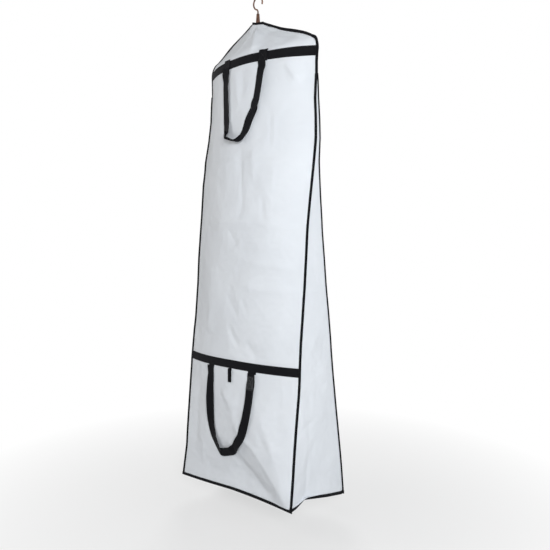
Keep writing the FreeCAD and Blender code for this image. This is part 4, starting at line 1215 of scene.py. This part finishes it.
# %% Stitch and coil trees
def repeating_tree(name, segments, rings, across, along):
    """Places a low ball, stretched along the line, at every pitch of every line of the input."""
    tree = bpy.data.node_groups.new(name, "GeometryNodeTree")
    inputs = {"Lines": "Geometry", "Pitch": "Float", across: "Float", along: "Float", "Finish": "Material"}
    for socket, kind in inputs.items():
        tree.interface.new_socket(socket, in_out="INPUT", socket_type="NodeSocket" + kind)
    tree.interface.new_socket("Pieces", in_out="OUTPUT", socket_type="NodeSocketGeometry")
    given = tree.nodes.new("NodeGroupInput").outputs

    def step(kind, result, inputs=None, **settings):
        return add_node(tree, "GeometryNode" + kind, inputs, **settings).outputs[result]

    ball = step("MeshUVSphere", "Mesh", {"Segments": segments, "Rings": rings, "Radius": 1.0})
    axes = {"X": given[across], "Y": given[across], "Z": given[along]}
    sizes = add_node(tree, "ShaderNodeCombineXYZ", axes)
    shape = step("Transform", "Geometry", {"Geometry": ball, "Scale": sizes.outputs["Vector"]})
    curve = step("MeshToCurve", "Curve", {"Mesh": given["Lines"]})
    even = step("ResampleCurve", "Curve", {"Curve": curve, "Length": given["Pitch"]}, mode="LENGTH")
    tangent = step("InputTangent", "Tangent")
    turned = add_node(tree, "FunctionNodeAlignRotationToVector", {"Vector": tangent}, axis="Z")
    placed = step("InstanceOnPoints", "Instances", {
        "Points": even, "Instance": shape, "Rotation": turned.outputs["Rotation"],
    })
    real = step("RealizeInstances", "Geometry", {"Geometry": placed})
    smooth = step("SetShadeSmooth", "Geometry", {"Geometry": real})
    finished = step("SetMaterial", "Geometry", {"Geometry": smooth, "Material": given["Finish"]})
    add_node(tree, "NodeGroupOutput", {"Pieces": finished})
    return tree


stitch_tree = repeating_tree("stitches", 6, 4, "Thread", "Half Length")
coil_tree = repeating_tree("zip coil", 8, 5, "Loop Radius", "Wire")


def repeated(name, tree, lines, values, finish, body, stands_for=()):
    """Runs a tree over the lines and keeps its result as a plain mesh."""
    points, edges = [], []
    for line in lines:
        first = len(points)
        points += [tuple(p) for p in line]
        edges += [(first + i, first + i + 1) for i in range(len(line) - 1)]
    source = bpy.data.meshes.new(name + "_lines")
    source.from_pydata(points, edges, [])
    maker = in_scene(name + "_lines", source)
    modifier = maker.modifiers.new("repeat", "NODES")
    modifier.node_group = tree
    values = {**values, "Finish": finishes[finish]}
    for item in tree.interface.items_tree:
        if item.name in values:
            modifier[item.identifier] = values[item.name]
    graph = bpy.context.evaluated_depsgraph_get()
    mesh = bpy.data.meshes.new_from_object(maker.evaluated_get(graph), depsgraph=graph)
    bpy.data.objects.remove(maker)
    on_body(name, mesh, body, stands_for)
    print(f"{name}: {len(lines)} lines, {len(mesh.polygons)} faces")


# %% Stitches and coil
THREAD, PATCH_THREAD, STITCH_HALF = 0.00028, 0.00035, 0.0014
STITCHES = {  # finish, body, pitch and thickness of the thread
    "bag": ("black_thread", "bag", 0.0036, THREAD),
    "upper_handle": ("black_thread", "upper_handle", 0.0036, THREAD),
    "lower_handle": ("black_thread", "lower_handle", 0.0036, THREAD),
    "patch": ("grey_thread", "lower_handle", 0.0034, PATCH_THREAD),
    "zip": ("white_thread", "bag", 0.0034, THREAD),
}
for key, (finish, body, pitch, thread) in STITCHES.items():
    repeated(f"stitches_{key}", stitch_tree, stitch_lines[key],
             {"Pitch": pitch, "Thread": thread, "Half Length": STITCH_HALF}, finish, body)

row_low, row_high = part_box("zip_teeth_right")
COIL_PITCH, COIL_RADIUS, COIL_WIRE, COIL_IN = 0.0024, 0.00105, 0.0009, 0.0006
for side, name in SIDES:
    shift = COIL_PITCH / 2 if side > 0 else 0.0
    ends = (row_low.z + 0.001 + shift, row_high.z - 0.001 - COIL_PITCH / 2 + shift)
    repeated(f"zip_coil_{name}", coil_tree, [zip_line(side * COIL_FROM_MIDDLE, ends, COIL_IN)],
             {"Pitch": COIL_PITCH, "Loop Radius": COIL_RADIUS, "Wire": COIL_WIRE}, "zip_coil", "bag",
             [f"zip_teeth_{name}"])

# %% [markdown]
# ## Hard parts from the model
# The hook, its collar, the hanger's arms and the zip's slider, pull and stops are hard, so the finished
# model already has their exact shape. They keep their own meshes and only get a finish.

# %% Finishes for the hard parts
HARD_PARTS = {
    "hanger": "hanger_wood", "hanger_hook": "hook_metal", "hook_collar": "hook_metal",
    "zip_slider": "zip_metal", "zip_pull": "zip_metal", "zip_top_stops": "zip_metal",
    "zip_bottom_stop": "zip_metal",
}
for node, finish in HARD_PARTS.items():
    for place in frame["nodes"][node].material_slots:
        place.material = finishes[finish]
print("hard parts finished:", len(HARD_PARTS))

# %% [markdown]
# ## Studio
# The bag hangs a hand's width above a pale floor. A large soft lamp on the right is the main light, as in
# a catalogue, and one more to the side lights the gusset. A weaker one on the left keeps the far side
# readable, and a lamp behind lights the back. The world adds an even base. Floor and world are white for
# the camera, for reflections and through clear matter only, and darker as a light.

# %% Floor
FLOOR_REACH = 12.0
FLOOR_GAP = 0.10
WHITE = (1, 1, 1, 1)


def seen_rays(tree):
    """1 for rays of the camera, of reflections and through clear matter, 0 for the others."""
    rays = tree.nodes.new("ShaderNodeLightPath").outputs
    mirror_too = math_node(tree, "MAXIMUM", rays["Is Glossy Ray"], rays["Is Transmission Ray"])
    return math_node(tree, "MAXIMUM", rays["Is Camera Ray"], mirror_too)


def mixed_shaders(tree, share, first, second, output):
    mixed = add_node(tree, "ShaderNodeMixShader", {"Fac": share, 1: first, 2: second})
    put(tree, tree.nodes[output].inputs["Surface"], mixed.outputs["Shader"])


floor_mesh = bpy.data.meshes.new("floor")
round_it = ((-1, -1), (1, -1), (1, 1), (-1, 1))
corners = [(x * FLOOR_REACH, y * FLOOR_REACH, FOOT - FLOOR_GAP) for x, y in round_it]
floor_mesh.from_pydata(corners, [], [(0, 1, 2, 3)])
floor = in_scene("floor", floor_mesh)
floor_material, tree, lit = start_material("pale_floor", Base_Color=(0.55, 0.55, 0.55, 1), Roughness=0.9)
plain = add_node(tree, "ShaderNodeEmission", {"Strength": 1.0, "Color": WHITE})
distance = add_node(tree, "ShaderNodeVectorMath", {0: object_coordinates(tree)}, operation="LENGTH")
faded = add_node(tree, "ShaderNodeMapRange", {
    "Value": distance.outputs["Value"], "From Min": 2.0, "From Max": 2.45, "To Min": 0.6, "To Max": 1.0,
})
share = math_node(tree, "MULTIPLY", seen_rays(tree), faded.outputs["Result"])
mixed_shaders(tree, share, lit.outputs["BSDF"], plain.outputs["Emission"], "Material Output")
floor.data.materials.append(floor_material)
print("floor at", round(FOOT - FLOOR_GAP, 3), "m")


# %% Lamps and world
def soft_lamp(name, place, target, size, power, tint):
    data = bpy.data.lights.new(name, "AREA")
    data.color = tint
    data.shape = "DISK"
    data.size = size
    data.energy = power
    lamp = in_scene(name, data)
    lamp.location = place
    lamp.rotation_euler = (Vector(target) - Vector(place)).to_track_quat("-Z", "Y").to_euler()


LAMPS = {  # place, target, diameter, power, tint
    "key": ((2.3, -1.9, -0.3), (0, 0, -0.95), 1.2, 68, (0.955, 0.98, 1.0)),
    "side": ((3.4, 0.4, -0.2), (0, 0, -0.7), 2.4, 28, (0.95, 0.98, 1.0)),
    "fill": ((-2.2, -1.6, -0.02), (-0.1, 0, -0.62), 1.6, 24.5, (1.0, 0.98, 0.95)),
    "rear": ((-2.6, 2.7, 0.2), (0, 0, FOOT / 2), 1.8, 95, (1.0, 1.0, 1.0)),
}
for name, measures in LAMPS.items():
    soft_lamp(name, *measures)
WORLD_LIGHT = 0.17
world = bpy.data.worlds.new("studio")
bpy.context.scene.world = world
world.use_nodes = True
tree = world.node_tree
base = tree.nodes["Background"]
put(tree, base.inputs["Color"], WHITE)
put(tree, base.inputs["Strength"], WORLD_LIGHT)
white = add_node(tree, "ShaderNodeBackground", {"Color": WHITE, "Strength": 1.0})
mixed_shaders(tree, seen_rays(tree), base.outputs["Background"], white.outputs["Background"], "World Output")
bpy.context.scene.view_settings.view_transform = "Standard"
print(len(LAMPS), "lamps and a pale world")
